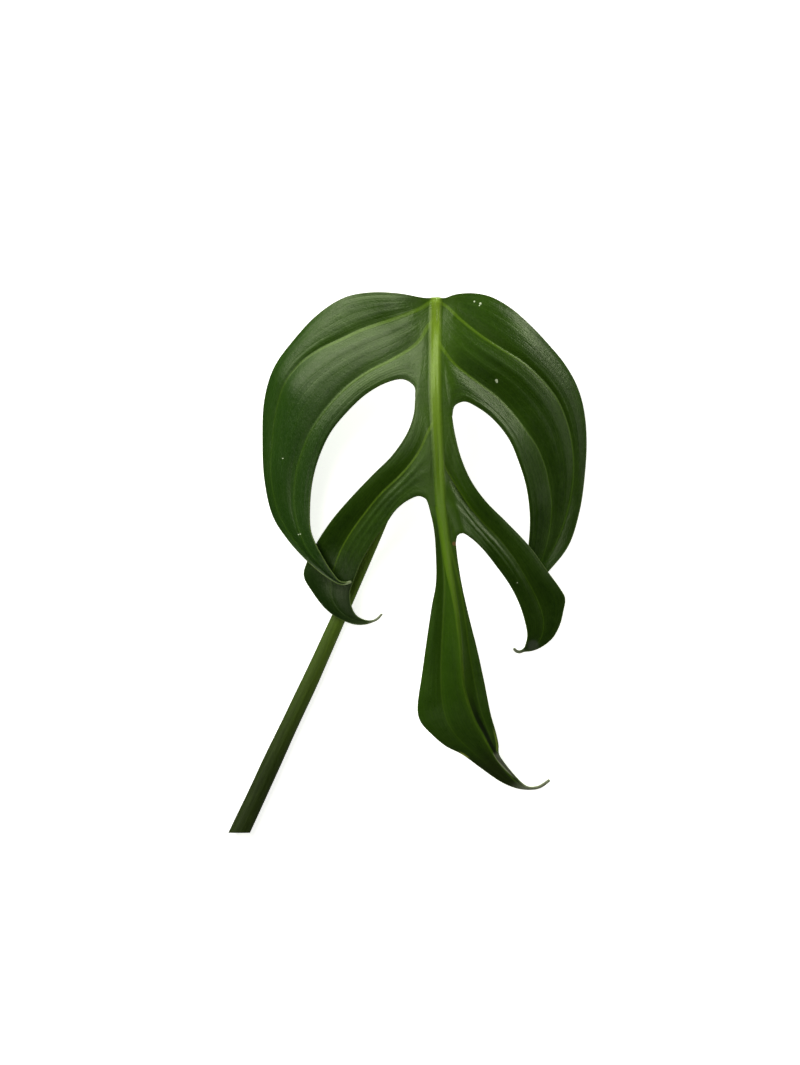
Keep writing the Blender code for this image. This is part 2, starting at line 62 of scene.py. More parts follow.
# The studio's softboxes: compass angle from the leaf's top, height in degrees, and brightness
STUDIO = (
    (-60, 8, 1.5), (-60, 22, 6.2), (-30, 22, 10.0), (-60, 36, 3.2), (-60, 50, 2.4), (-30, 50, 5.0),
    (-60, 64, 5.0), (-120, 64, 1.3), (0, 8, 12.0), (60, 8, 2.0), (62, 14, 8.0), (90, 14, 1.4),
    (90, 40, 0.5), (180, 80, 0.5),
)
LAMP_SIZE = (0.72, 0.36)
LAMP_DISTANCE = 1.4
LAMP_COLOUR = (0.98, 1.0, 0.86)
WORLD_LIGHT = 0.02

# The floor: half its width and its height in metres, and its own light
FLOOR_REACH = 6.0
FLOOR_HEIGHT = -0.0001
FLOOR_GLOW = 0.78

# Small marks on the blade: picture column and row of the middle, radius in mm
SPECKS = (
    (474, 302, 0.38), (480, 304, 0.50), (479, 306, 0.3), (496, 380.5, 0.62), (496.5, 382, 0.45),
    (298.5, 534, 0.26), (300.5, 533.5, 0.26), (517, 582, 0.24), (283, 458, 0.25),
)
SCAR = (454, 543, 0.9)
YELLOWED = (464, 755, 2.4)
WITHERED = (533, 645, 2.6)

# The edge turned over near the tip ends where margin + slant * down = start + width, in mm
TURNED_START = 19.7
TURNED_SLANT = 0.12
TURNED_WIDTH = 1.85

# The depth of both materials' grain in mm, and the turn in degrees above which an edge stays sharp
BUMP_DEPTH = 0.23
SHARP_ANGLE = 50

# Points that stand for a smooth curve: for each point given, for a length, and for the midrib
CURVE_STEPS = 60
LENGTH_STEPS = 2000
MIDRIB_POINTS = 160

# The solid blade's own numbers, which the fine one keeps
BLADE_THICKNESS = 0.6
MIDRIB_KEEL = 2.0
MIDRIB_HALF_WIDTH = 2.2
MIDRIB_TAPER = 0.75
VEIN_FURROW = 0.5
VEIN_FURROW_REACH = 2.6
VEIN_RIB = 0.3
VEIN_RIB_REACH = 1.0
WEB_GRADING = 1.4
WEB_SHARE = 0.06
CUT_LINE = -186.2

# Mesh rows of the solid blade, by which its blends are placed, and of the fine one
SOLID_WEB_ROWS = 4
SOLID_ROWS = {"upper": 26, "lower": 22}
WEB_ROWS = 24
ROWS = {"upper": 104, "lower": 88}
TIP_ROWS = 96

# Each vein on top: a fine ridge in a shallow trough, in mm
VEIN_RIDGE = 0.10
RIDGE_GAIN = 1.3
RIDGE_REACH = 0.42
TROUGH_REACH = 0.95

# Half the width of each lobe's veins in colour, in mm, and its shares at shares of the way to the tip
VEIN_WIDTHS = (1.0, 0.85, 0.75, 0.6, 0.6, 0.6)
VEIN_TAPER = ((0, 0.2, 0.6, 1), (1.0, 0.85, 0.6, 0.3))

# The midrib's pale band: half its width in mm at distances along it, and at its very end
BAND_PLACES = (0, 56, 80, 92, 104, 125)
BAND_HALF_WIDTHS = (2.1, 1.9, 1.8, 1.5, 0.9, 0.6)
BAND_END = 0.25

# The crest on the band, as a share of its half width, and the shares of it between which it ends
CREST = 0.2
CREST_END = (0.55, 1.25)

# How far each strip between two lines of a lobe swells, as a share of its width, and the widest that counts
PILLOWS = (
    (0.07, 0.06, 0.06), (0.09, 0.05, 0.09), (0.04, 0.04), (0.04, 0.09), (0.03, 0.03), (0.03, 0.03),
)
PILLOW_WIDEST = 13.0

# Soft waves between the veins, in mm: height, strip they are counted by, waves per mm, slant, strip widths
# between which they set in, and the count of waves and their seed
SWELL_HEIGHT = 0.10
SWELL_STRIP = 11.0
SWELL_PITCH = (0.10, 0.42)
SWELL_SLANT = 0.011
SWELL_ROOM = (3.0, 11.0)
SWELL_COUNT = 9
SWELL_SEED = 41

# Forms set in between these distances from the midrib, in mm, and lose this share on the way to the tip
FORM_START = (0.6, 4.0)
PRESS_LOSS = 0.5
PRESS_PLACES = (0.45, 0.8)

# The rim: loss of thickness and its reach in mm, steps of its half round, and how far that stands out
RIM_THINNING = 0.3
RIM_REACH = 0.9
EDGE_STEPS = 4
EDGE_BULGE = 0.8

# How the colours count places: strands for each lobe, and the farthest from a line that is told apart
LOBE_STRANDS = 10.0
MIDRIB_FAR = 6.0
VEIN_FAR = 8.0
MARGIN_FAR = 6.0

# The fine stalk: its mesh, then ridges round it and slow waves along it, each as share, count or mm, turn
STALK_SIDES = 64
STALK_RINGS = 240
STALK_RIDGES = ((0.012, 9, 0.7), (0.008, 5, 2.0))
STALK_WAVES = ((0.012, 9.0, 0.0), (0.01, 4.1, 1.0))

# Its cut: rings, length over which the tube is bent to the cut's line, groove and hollow of the face in mm
CUT_RINGS = 9
CUT_REACH = 7.0
CUT_GROOVE = 0.18
CUT_GROOVES = 3.0
CUT_HOLLOW = 0.1

# The midrib, from the joint to the end of the end lobe's drip tip
MIDRIB = (
    (0.0, 0.0, 24.5), (-0.2, -14.0, 26.5), (-0.1, -31.5, 29.0), (0.5, -47.2, 28.9), (1.3, -61.2, 27.6),
    (1.9, -71.8, 26.5), (3.3, -84.0, 24.9), (4.5, -92.8, 23.6), (6.15, -101.5, 22.2),
    (7.4, -109.2, 20.6), (8.5, -119.0, 18.3), (9.0, -126.0, 16.6), (9.9, -134.8, 13.7),
    (11.5, -141.0, 11.5), (13.8, -147.0, 9.7), (16.3, -151.5, 8.3), (18.9, -156.4, 6.8),
    (21.5, -160.6, 5.4), (24.3, -164.1, 4.1), (27.5, -167.5, 2.6), (30.0, -169.6, 1.4),
    (32.1, -170.6, 0.8), (34.1, -170.75, 0.6), (36.1, -170.3, 1.0), (37.8, -169.35, 1.8),
    (39.65, -167.9, 2.9),
)

# Places along the midrib where veins and webs run out, each with the mesh columns before it
UPPER_VEIN_1 = 0.8
LEFT_VEIN_2 = 7.0
RIGHT_VEIN_2 = 13.0
UPPER_LEFT_WEB = 35.0
UPPER_RIGHT_WEB = 41.3
RIGHT_LOWER_VEIN = 52.0
LOWER_LEFT_WEB = 72.8
LOWER_RIGHT_WEB = 84.0
MIDRIB_STRETCHES = (
    (UPPER_VEIN_1, 22), (LEFT_VEIN_2, 22), (RIGHT_VEIN_2, 8), (UPPER_LEFT_WEB, 22), (UPPER_RIGHT_WEB, 10),
    (RIGHT_LOWER_VEIN, 18), (LOWER_LEFT_WEB, 22), (LOWER_RIGHT_WEB, 14),
)

# Upper left lobe: a big sickle whose tip crosses over the lower left lobe
UPPER_LEFT_OUTER = (
    (-4.7, 0.5, 26.0), (-12.4, 1.9, 25.6), (-22.2, 2.4, 22.8), (-31.7, 0.7, 18.4), (-41.1, -5.2, 13.3),
    (-49.5, -14.0, 8.6), (-56.5, -23.8, 4.5), (-59.8, -35.0, 1.3), (-60.4, -49.0, 0.3),
    (-59.7, -63.0, 0.3), (-56.9, -75.2, 1.4), (-51.6, -83.6, 5.0), (-45.3, -90.6, 8.4),
    (-39.7, -95.5, 11.2), (-34.1, -99.0, 13.2), (-31.8, -99.4, 13.6), (-29.5, -98.7, 13.6),
)
UPPER_LEFT_VEIN_1 = (
    (-2.3, -1.3, 25.5), (-5.4, -3.2, 25.7), (-12.4, -6.0, 25.3), (-19.4, -8.4, 23.1),
    (-26.4, -10.9, 21.2), (-33.4, -14.2, 18.8), (-40.4, -17.5, 15.9), (-47.4, -22.4, 12.7),
    (-52.5, -29.0, 10.3), (-55.5, -38.5, 7.4), (-56.9, -49.0, 5.6), (-57.4, -61.0, 4.7),
    (-54.8, -74.0, 4.6), (-50.2, -82.6, 6.4), (-44.6, -89.5, 9.0), (-39.0, -94.8, 11.5),
    (-34.0, -98.6, 13.2), (-31.6, -99.1, 13.6), (-29.5, -98.5, 13.6),
)
UPPER_LEFT_VEIN_2 = (
    (-2.6, -9.3, 26.2), (-5.4, -14.0, 26.5), (-8.9, -17.2, 25.9), (-15.9, -21.4, 25.3),
    (-22.9, -24.9, 23.6), (-29.9, -29.8, 21.4), (-36.9, -36.8, 18.8), (-43.2, -45.5, 15.7),
    (-47.0, -54.5, 12.8), (-49.0, -63.0, 10.6), (-49.3, -71.5, 9.5), (-47.8, -79.5, 9.7),
    (-44.8, -86.6, 10.7), (-41.0, -91.6, 12.0), (-37.2, -95.6, 12.9), (-33.8, -98.4, 13.5),
    (-31.5, -98.8, 13.7), (-29.5, -98.3, 13.6),
)
UPPER_LEFT_INNER = (
    (-7.0, -34.3, 28.8), (-7.3, -30.4, 28.0), (-11.0, -27.8, 26.9), (-16.6, -28.7, 25.5),
    (-24.3, -32.9, 23.0), (-31.7, -39.9, 20.5), (-36.9, -46.5, 18.1), (-40.8, -54.9, 15.4),
    (-43.0, -63.0, 13.8), (-43.9, -71.8, 12.8), (-43.6, -80.5, 12.5), (-41.6, -85.8, 13.0),
    (-39.0, -90.6, 13.1), (-36.2, -95.0, 13.4), (-33.6, -98.1, 13.7), (-31.8, -98.6, 13.8),
    (-29.5, -98.1, 13.6),
)

# Upper right lobe: its tip runs under the lower right lobe
UPPER_RIGHT_OUTER = (
    (3.0, 0.3, 24.6), (6.8, 1.6, 24.2), (12.8, 2.1, 23.0), (19.1, 0.9, 22.2), (26.1, -3.0, 20.5),
    (33.1, -9.1, 17.7), (39.4, -15.7, 14.0), (45.0, -22.4, 10.0), (49.2, -29.7, 6.8),
    (51.6, -37.4, 4.2), (52.7, -47.9, 2.0), (52.1, -61.2, 0.7), (50.2, -74.2, 0.3), (46.4, -85.8, 0.3),
    (39.4, -94.8, 0.3), (34.5, -100.1, 0.3), (31.3, -102.9, 0.4), (29.5, -104.7, 0.6),
)
UPPER_RIGHT_VEIN_1 = (
    (3.0, -1.9, 24.4), (8.6, -7.0, 25.0), (15.6, -12.6, 24.6), (22.6, -17.2, 23.2), (29.6, -21.5, 20.7),
    (35.5, -26.6, 17.1), (41.8, -34.0, 12.4), (45.0, -40.5, 9.0), (47.4, -49.0, 5.8),
    (48.2, -59.5, 3.3), (47.0, -70.0, 1.4), (44.0, -80.5, 0.9), (39.4, -90.2, 0.3), (34.6, -98.2, 0.3),
    (31.2, -102.5, 0.4), (29.4, -104.5, 0.6),
)
UPPER_RIGHT_VEIN_2 = (
    (2.6, -17.5, 27.5), (6.8, -22.8, 27.6), (13.8, -28.4, 25.1), (20.8, -33.6, 20.9),
    (26.1, -38.9, 18.2), (31.3, -45.5, 15.4), (35.9, -52.5, 11.2), (39.0, -61.3, 7.0),
    (40.4, -70.0, 4.6), (40.2, -77.7, 2.6), (38.4, -86.8, 1.4), (35.4, -94.8, 0.8), (32.4, -100.3, 0.6),
    (30.8, -102.7, 0.6), (29.3, -104.3, 0.6),
)
UPPER_RIGHT_INNER = (
    (5.6, -40.9, 29.2), (6.5, -37.1, 29.1), (10.0, -35.5, 27.7), (14.5, -37.4, 25.7),
    (20.1, -41.6, 23.1), (25.7, -48.6, 20.2), (29.2, -56.7, 17.0), (31.7, -64.8, 13.3),
    (32.9, -72.8, 9.8), (33.1, -78.8, 7.0), (32.6, -85.8, 4.6), (31.9, -92.8, 2.5), (31.2, -98.7, 1.2),
    (30.3, -102.3, 0.7), (29.1, -104.2, 0.6),
)

# Lower left lobe: it passes over the stalk and under the upper left tip
LOWER_LEFT_OUTER = (
    (-7.0, -34.3, 28.8), (-7.5, -39.9, 29.2), (-9.6, -46.2, 28.7), (-14.9, -54.2, 27.2),
    (-21.9, -61.2, 24.3), (-29.9, -69.6, 20.0), (-35.9, -76.6, 15.7), (-41.1, -84.3, 10.3),
    (-44.6, -91.0, 6.0), (-46.0, -96.2, 4.4), (-43.2, -101.5, 4.4), (-38.3, -107.8, 5.6),
    (-33.4, -111.3, 7.4), (-28.2, -113.2, 8.6), (-24.5, -113.2, 8.9), (-21.8, -112.35, 9.1),
    (-20.1, -111.5, 9.3), (-18.6, -109.8, 9.8),
)
LOWER_LEFT_VEIN = (
    (-2.6, -46.0, 29.5), (-5.4, -52.2, 28.4), (-8.9, -57.4, 26.8), (-12.4, -61.3, 25.1),
    (-19.4, -67.9, 21.7), (-24.3, -73.9, 18.4), (-29.6, -81.2, 14.4), (-33.1, -87.5, 11.4),
    (-35.5, -94.0, 9.6), (-36.6, -99.4, 8.6), (-36.2, -104.4, 8.4), (-33.6, -108.6, 8.5),
    (-29.4, -111.4, 8.8), (-24.6, -112.6, 9.0), (-21.7, -112.15, 9.2), (-20.2, -111.3, 9.4),
    (-18.8, -109.7, 9.8),
)
LOWER_LEFT_INNER = (
    (-2.3, -71.8, 25.8), (-3.3, -69.5, 26.0), (-5.8, -68.4, 25.7), (-9.6, -69.8, 24.3),
    (-13.8, -73.1, 22.1), (-17.3, -78.0, 19.7), (-22.2, -85.0, 16.2), (-26.1, -91.7, 13.2),
    (-28.5, -97.6, 11.2), (-29.9, -101.8, 10.1), (-29.5, -106.8, 9.6), (-27.7, -110.2, 9.2),
    (-24.5, -111.85, 9.1), (-22.0, -111.9, 9.2), (-20.4, -111.05, 9.4), (-19.0, -109.6, 9.8),
)

# Lower right lobe: it crosses over the upper right tip
LOWER_RIGHT_OUTER = (
    (5.6, -40.9, 29.2), (6.5, -46.5, 29.1), (8.6, -54.9, 29.0), (12.1, -63.0, 27.7),
    (17.3, -70.3, 25.2), (24.3, -77.3, 21.2), (32.4, -85.8, 16.2), (39.0, -94.8, 11.3),
    (43.4, -100.8, 8.0), (45.2, -104.2, 6.4), (44.6, -108.5, 5.0), (43.3, -113.6, 4.0),
    (40.8, -118.1, 3.0), (36.6, -121.4, 2.2), (33.3, -122.6, 1.6), (31.1, -122.8, 1.3),
    (29.4, -123.35, 1.2), (27.9, -122.9, 1.5), (27.2, -122.0, 2.2),
)
LOWER_RIGHT_VEIN = (
    (2.6, -57.0, 28.2), (5.8, -62.8, 26.8), (8.9, -67.6, 25.5), (12.4, -72.8, 24.3),
    (16.6, -77.7, 22.6), (21.2, -82.3, 20.8), (26.4, -88.6, 17.7), (29.6, -93.6, 15.1),
    (33.0, -99.6, 12.0), (35.8, -105.4, 8.6), (37.4, -110.2, 6.6), (37.6, -115.0, 5.0),
    (36.4, -118.8, 3.5), (33.9, -121.3, 2.4), (31.0, -122.5, 1.5), (29.3, -123.05, 1.3),
    (28.1, -122.7, 1.5), (27.4, -121.8, 2.2),
)
LOWER_RIGHT_INNER = (
    (6.9, -85.0, 24.9), (7.5, -82.2, 26.1), (9.3, -81.3, 26.4), (12.1, -82.8, 25.1),
    (16.3, -86.6, 22.5), (21.5, -93.1, 17.9), (26.1, -99.6, 13.4), (29.2, -105.7, 10.2),
    (31.3, -112.0, 7.4), (32.2, -117.2, 5.2), (31.6, -120.2, 3.6), (30.9, -121.8, 2.4),
    (29.4, -122.6, 1.6), (28.4, -122.3, 1.7), (27.7, -121.6, 2.2),
)

# End lobe: both halves are ruled from the midrib, and its tip turns to the right
END_LEFT = (
    (-2.3, -71.8, 25.8), (-0.5, -79.8, 25.6), (0.2, -89.2, 23.9), (0.2, -99.0, 21.6),
    (-1.2, -106.8, 19.3), (-3.0, -119.0, 15.4), (-4.7, -131.2, 11.2), (-6.1, -141.0, 7.9),
    (-6.0, -144.8, 6.4), (-4.9, -147.7, 5.8), (-1.2, -151.7, 5.0), (3.7, -155.8, 4.2),
    (9.3, -158.6, 3.7), (15.6, -163.2, 2.7), (22.6, -168.1, 1.4), (26.6, -170.0, 0.7),
    (30.0, -170.9, 0.35), (33.9, -171.05, 0.3), (36.3, -170.6, 0.8), (38.1, -169.6, 1.7),
    (39.9, -168.1, 2.9),
)
END_LEFT_VEIN = (
    (1.6, -82.0, 24.6), (2.8, -91.0, 23.1), (3.2, -99.0, 21.6), (2.8, -110.0, 18.8),
    (2.2, -122.0, 15.2), (2.0, -133.0, 11.9), (2.6, -141.0, 9.4), (4.6, -148.0, 7.8),
    (8.4, -153.4, 6.4), (13.4, -158.0, 5.2), (18.6, -162.4, 4.0), (24.4, -167.2, 2.2),
    (28.6, -169.9, 1.0), (31.7, -170.8, 0.55), (34.0, -170.9, 0.45), (36.2, -170.45, 0.9),
    (37.95, -169.48, 1.75), (39.78, -168.0, 2.9),
)
END_RIGHT = (
    (6.9, -85.0, 24.9), (7.5, -90.3, 24.0), (8.9, -99.0, 22.5), (11.4, -110.2, 20.2),
    (14.5, -122.5, 17.0), (17.0, -134.0, 13.8), (19.1, -144.5, 11.0), (21.2, -151.9, 8.6),
    (21.9, -155.6, 7.6), (21.9, -158.6, 6.8), (24.3, -162.3, 5.2), (27.7, -166.4, 3.4),
    (30.4, -169.2, 2.0), (32.3, -170.35, 1.2), (34.2, -170.5, 0.9), (36.0, -170.05, 1.2),
    (37.65, -169.1, 1.9), (39.5, -167.7, 2.9),
)
END_RIGHT_VEIN = (
    (6.5, -92.0, 24.2), (8.6, -101.0, 22.4), (10.4, -112.0, 19.7), (12.0, -124.0, 16.3),
    (13.8, -134.0, 13.4), (15.8, -143.0, 10.9), (18.4, -150.4, 8.6), (20.4, -156.0, 7.1),
    (21.8, -159.6, 6.0), (24.3, -163.3, 4.5), (27.6, -167.0, 3.0), (30.2, -169.4, 1.7),
    (32.2, -170.48, 1.0), (34.15, -170.62, 0.75), (36.05, -170.17, 1.1), (37.72, -169.22, 1.85),
    (39.58, -167.8, 2.9),
)

# The stalk: its centre line and radius, from the cut to the knee under the joint
STALK = (
    (-68.7, -186.2, 3.2, 3.4), (-62.4, -172.8, 3.1, 3.3), (-56.2, -159.3, 3.0, 3.2),
    (-47.1, -140.0, 2.75, 2.95), (-43.6, -132.6, 2.65, 2.85), (-34.0, -111.3, 2.35, 2.5),
    (-29.8, -102.0, 2.6, 2.4), (-25.8, -92.8, 3.5, 2.35), (-19.8, -78.8, 5.6, 2.35),
    (-13.3, -63.0, 8.2, 2.3), (-7.9, -49.0, 10.6, 2.3), (-3.7, -36.8, 12.6, 2.3),
    (-1.2, -25.0, 14.5, 2.3), (-0.2, -14.5, 16.3, 2.35), (0.0, -7.6, 17.9, 2.45), (0.0, -4.1, 19.6, 2.5),
    (0.0, -2.9, 21.6, 2.4),
)


def smooth_curve(points, shares):
    """Points at shares of the length of the cubic spans that pass smoothly through the given points."""
    points = np.array(points, float)
    gaps = np.sqrt(np.linalg.norm(np.diff(points, axis=0), axis=1))
    knots = np.concatenate(([0.0], np.cumsum(gaps)))
    slopes = np.gradient(points, knots, axis=0)
    fine = np.linspace(0.0, knots[-1], CURVE_STEPS * len(points))
    span = np.clip(np.searchsorted(knots, fine, side="right") - 1, 0, len(gaps) - 1)
    width = gaps[span][:, None]
    t = (fine - knots[span])[:, None] / width
    curve = hermite(points[span], points[span + 1], width * slopes[span], width * slopes[span + 1], t)
    lengths = np.concatenate(([0.0], np.cumsum(np.linalg.norm(np.diff(curve[:, :3], axis=0), axis=1))))
    return np.column_stack([np.interp(shares * lengths[-1], lengths, axis) for axis in curve.T])


def hermite(start, end, leaving, arriving, t):
    """The cubic between two points with a given leaving and arriving slope, at t from 0 to 1."""
    return (
        (2 * t**3 - 3 * t**2 + 1) * start + (t**3 - 2 * t**2 + t) * leaving
        + (3 * t**2 - 2 * t**3) * end + (t**3 - t**2) * arriving
    )


def smoothstep(low, high, value):
    """0 below low, 1 above high, and 3t^2 - 2t^3 of the share t of the way between them."""
    t = ((value - low) / (high - low)).clip(0.0, 1.0)
    return t * t * (3 - 2 * t)


def bell(away, reach):
    """1 on a line, falling off as exp(-(away / reach)^2)."""
    return np.exp(-((away / reach) ** 2))


def curve_length(points):
    """The length of the smooth curve through the points."""
    curve = smooth_curve(points, np.linspace(0.0, 1.0, LENGTH_STEPS))
    return np.linalg.norm(np.diff(curve[:, :3], axis=0), axis=1).sum()


def eased(count):
    """Shares from 0 to 1 in count steps, closer together at both ends: half even, half 3t^2 - 2t^3."""
    even = np.linspace(0.0, 1.0, count + 1)
    return 0.5 * even + 0.5 * even**2 * (3 - 2 * even)


MIDRIB_LENGTH = curve_length(MIDRIB)
WEB_SHARES = np.linspace(0.0, 1.0, WEB_ROWS + 1) ** WEB_GRADING


def midrib_stations():
    """Distances along the midrib of every mesh column, then of every row of the end lobe."""
    stations = [0.0]
    for end, count in MIDRIB_STRETCHES:
        stations += list(stations[-1] + (end - stations[-1]) * eased(count)[1:])
    rest = stations[-1] + (MIDRIB_LENGTH - stations[-1]) * eased(TIP_ROWS)[1:]
    return np.array(stations + list(rest))


STATIONS = midrib_stations()


def stations_between(start, end):
    """The midrib stations from one place on it to another."""
    return STATIONS[(STATIONS > start - 1e-6) & (STATIONS < end + 1e-6)]


def on_midrib(distances):
    """Points of the midrib at distances along it."""
    return smooth_curve(MIDRIB, np.atleast_1d(distances) / MIDRIB_LENGTH)


MIDRIB_LINE = on_midrib(np.linspace(0.0, MIDRIB_LENGTH, MIDRIB_POINTS))


def web_edge(root, corner):
    """Points from a place on the midrib out to the corner of the web between two lobes."""
    start = on_midrib(root)[0]
    return start + WEB_SHARES[:, None] * (np.array(corner) - start)


def lobe_rail(points, root, webbed, rows):
    """One line along a lobe, from the midrib to the tip: a vein, or a margin that may start as a web edge."""
    if webbed:
        return np.vstack((web_edge(root, points[0]), smooth_curve(points, eased(rows))[1:]))
    shares = np.concatenate((WEB_SHARES * WEB_SHARE, WEB_SHARE + (1 - WEB_SHARE) * eased(rows)[1:]))
    return smooth_curve((tuple(on_midrib(root)[0]), *points), shares)


def row_places(size):
    """Shares from 0 at the midrib to 1 at the tip, counted in the solid blade's rows."""
    web = SOLID_WEB_ROWS * np.linspace(0.0, 1.0, WEB_ROWS + 1)
    lobe = SOLID_WEB_ROWS + SOLID_ROWS[size] * np.linspace(0.0, 1.0, ROWS[size] + 1)[1:]
    return np.concatenate((web, lobe)) / (SOLID_WEB_ROWS + SOLID_ROWS[size])


def loft(rails, marks, columns, base, places):
    """A grid of points through lines that run along a lobe.

    Each row crosses the rails as a smooth curve of cubic spans, and the columns are spaced as their
    own places between the marks. The first rows are drawn onto the base line, by (1 - place)^6.
    """
    rails, marks = np.array(rails), np.array(marks)
    gaps = np.linalg.norm(np.diff(rails, axis=0), axis=2)[:, :, None]
    steps = np.diff(rails, axis=0) / gaps.clip(1e-9)
    inner = (gaps[:-1] * steps[1:] + gaps[1:] * steps[:-1]) / (gaps[:-1] + gaps[1:]).clip(1e-9)
    slopes = np.concatenate((1.5 * steps[:1] - 0.5 * inner[:1], inner, 1.5 * steps[-1:] - 0.5 * inner[-1:]))
    span = np.clip(np.searchsorted(marks, columns + 1e-9, side="right") - 1, 0, len(rails) - 2)
    t = (columns - marks[span]) / (marks[span + 1] - marks[span])
    grid = hermite(
        rails[span], rails[span + 1], gaps[span] * slopes[span], gaps[span] * slopes[span + 1],
        t[:, None, None],
    ).transpose(1, 0, 2)
    fade = (1.0 - places)[:, None, None] ** 6
    return grid + fade * (base - grid[0]), span + t, gaps[span, :, 0].T


def line_distance(grid, line):
    """The distance of every grid point from a line of straight pieces, by the nearest point of each."""
    start, run = line[:-1], np.diff(line, axis=0)
    reach = (run**2).sum(axis=1).clip(1e-12)
    nearest = np.full(grid.shape[:2], np.inf)
    for row in range(len(grid)):
        offset = grid[row][:, None, :] - start
        share = ((offset * run).sum(axis=2) / reach).clip(0.0, 1.0)[:, :, None]
        nearest[row] = np.linalg.norm(offset - share * run, axis=2).min(axis=1)
    return nearest


def swell_waves():
    """The soft waves: for each its pitch across the veins, its slant along them and its phase."""
    draws = np.random.default_rng(SWELL_SEED)
    return [
        (draws.uniform(*SWELL_PITCH), draws.normal(0.0, SWELL_SLANT), draws.uniform(0.0, 2 * np.pi))
        for _ in range(SWELL_COUNT)
    ]


SWELL_WAVES = swell_waves()


def swells(across, along):
    """Soft uneven waves, long beside the veins: the sum of cosines over the root of their count."""
    waves = [np.cos(2 * np.pi * (a * across + b * along) + phase) for a, b, phase in SWELL_WAVES]
    return sum(waves) / len(waves) ** 0.5


def midrib_half_width(stations):
    """Half the width of the midrib's pale band at distances along it."""
    return np.interp(stations, (*BAND_PLACES, MIDRIB_LENGTH), (*BAND_HALF_WIDTHS, BAND_END))


def relief(grid, number, run, beside, stations, veins, places, rise, strand, gap, along):
    """A grid pressed in along its veins and swollen between them, with its thickness above and below.

    The midrib is a low crest above and a keel below. Each vein lies in a soft furrow as a fine ridge
    above and a rib below. Between the lines the blade swells by 4t(1 - t) - 0.5 of a share of the
    strip's width, with soft waves that follow the veins. The forms beside the midrib grow from the web
    rows on, by rise, and furrows and swellings grow fainter towards the tip, by press.
    """
    press = rise * (1 - PRESS_LOSS * smoothstep(*PRESS_PLACES, places))
    size = 1 - MIDRIB_TAPER * stations / MIDRIB_LENGTH
    keel = bell(run, MIDRIB_HALF_WIDTH * size)
    band = beside / midrib_half_width(stations)
    furrow, ridge, rib = (np.zeros(grid.shape[:2]) for _ in range(3))
    for vein in veins:
        away = np.linalg.norm((grid - vein[:, None, :])[:, :, :2], axis=2)
        furrow += bell(away, VEIN_FURROW_REACH) * (1 - keel)
        ridge += (RIDGE_GAIN * bell(away, RIDGE_REACH) - bell(away, TROUGH_REACH)) * (1 - keel)
        rib += bell(away, VEIN_RIB_REACH) * (1 - keel)
    t = strand % 1.0
    strips = np.array(PILLOWS[number])
    swell = strips[np.floor(strand).astype(int).clip(0, len(strips) - 1)]
    pillow = (4 * t * (1 - t) - 0.5) * swell * gap.clip(0, PILLOW_WIDEST)
    waves = SWELL_HEIGHT * swells(SWELL_STRIP * strand, along) * smoothstep(*SWELL_ROOM, gap)
    inset = smoothstep(*FORM_START, run)
    lift = press * inset * (pillow + waves) - VEIN_FURROW * press * furrow
    crest = 1 - smoothstep(*CREST_END, band)
    above = 0.5 * BLADE_THICKNESS + CREST * midrib_half_width(stations) * crest + VEIN_RIDGE * rise * ridge
    below = 0.5 * BLADE_THICKNESS + MIDRIB_KEEL * size * keel + VEIN_RIB * rise * rib
    return grid + lift[:, :, None] * UP, above, below


def fields(number, beside, stations, strand, gap, away, margin, taper, along):
    """What the leaf's colours go by at every point of a grid, in mm or as shares of a line's width."""
    full = np.zeros(beside.shape)
    vein_width = VEIN_WIDTHS[number] * np.interp(taper, *VEIN_TAPER)
    return {
        "strand": strand + LOBE_STRANDS * number,
        "gap": gap + full,
        "along": along + full,
        "share": taper + full,
        "down": stations + full,
        "midrib": (beside / midrib_half_width(stations)).clip(0, MIDRIB_FAR),
        "vein": (away / vein_width).clip(0, VEIN_FAR),
        "margin": margin.clip(0, MARGIN_FAR),
    }


def side_lobe(number, rails, roots, webbed, size):
    """An upper or lower lobe, from its stretch of the midrib out to its tip."""
    places = row_places(size)
    lines = [lobe_rail(*rail, ROWS[size]) for rail in zip(rails, roots, webbed)]
    columns = stations_between(roots[0], roots[-1])
    grid, strand, gap = loft(lines, roots, columns, on_midrib(columns), places)
    steps = np.linalg.norm(np.diff(grid, axis=0), axis=2)
    run = np.vstack((np.zeros(len(columns)), np.cumsum(steps, axis=0)))
    start = SOLID_WEB_ROWS / (SOLID_WEB_ROWS + SOLID_ROWS[size])
    rise = np.sqrt(np.sin(np.pi * ((places - start) / (1 - start)).clip(0, 1)).clip(0))[:, None]
    edges = [line[WEB_ROWS:] if web else line for line, web in zip(lines, webbed) if web or line is lines[0]]
    return finished(number, grid, lines[1:-1], edges, columns[None, :], places, rise, strand, gap, run, run)


def end_half(number, margin, vein, root):
    """One half of the end lobe, between its margin and the midrib."""
    base = web_edge(root, margin[0])[::-1]
    middle = WEB_ROWS // 2
    stations = stations_between(root, MIDRIB_LENGTH)
    shares = (stations - root) / (MIDRIB_LENGTH - root)
    lines = [
        smooth_curve(margin, shares),
        smooth_curve((tuple(base[middle]), *vein), shares),
        on_midrib(stations),
    ]
    columns = 1 - WEB_SHARES[::-1]
    places = np.arange(len(stations)) / (len(stations) - 1.0)
    grid, strand, gap = loft(lines, (0.0, columns[middle], 1.0), columns, base, places)
    run = np.linalg.norm(grid - grid[:, -1:], axis=2)
    rise = np.sqrt(np.sin(np.pi * places).clip(0))[:, None]
    stations = stations[:, None]
    return finished(
        number, grid, lines[1:2], lines[:1], stations, places, rise, strand, gap, run, stations - root
    )


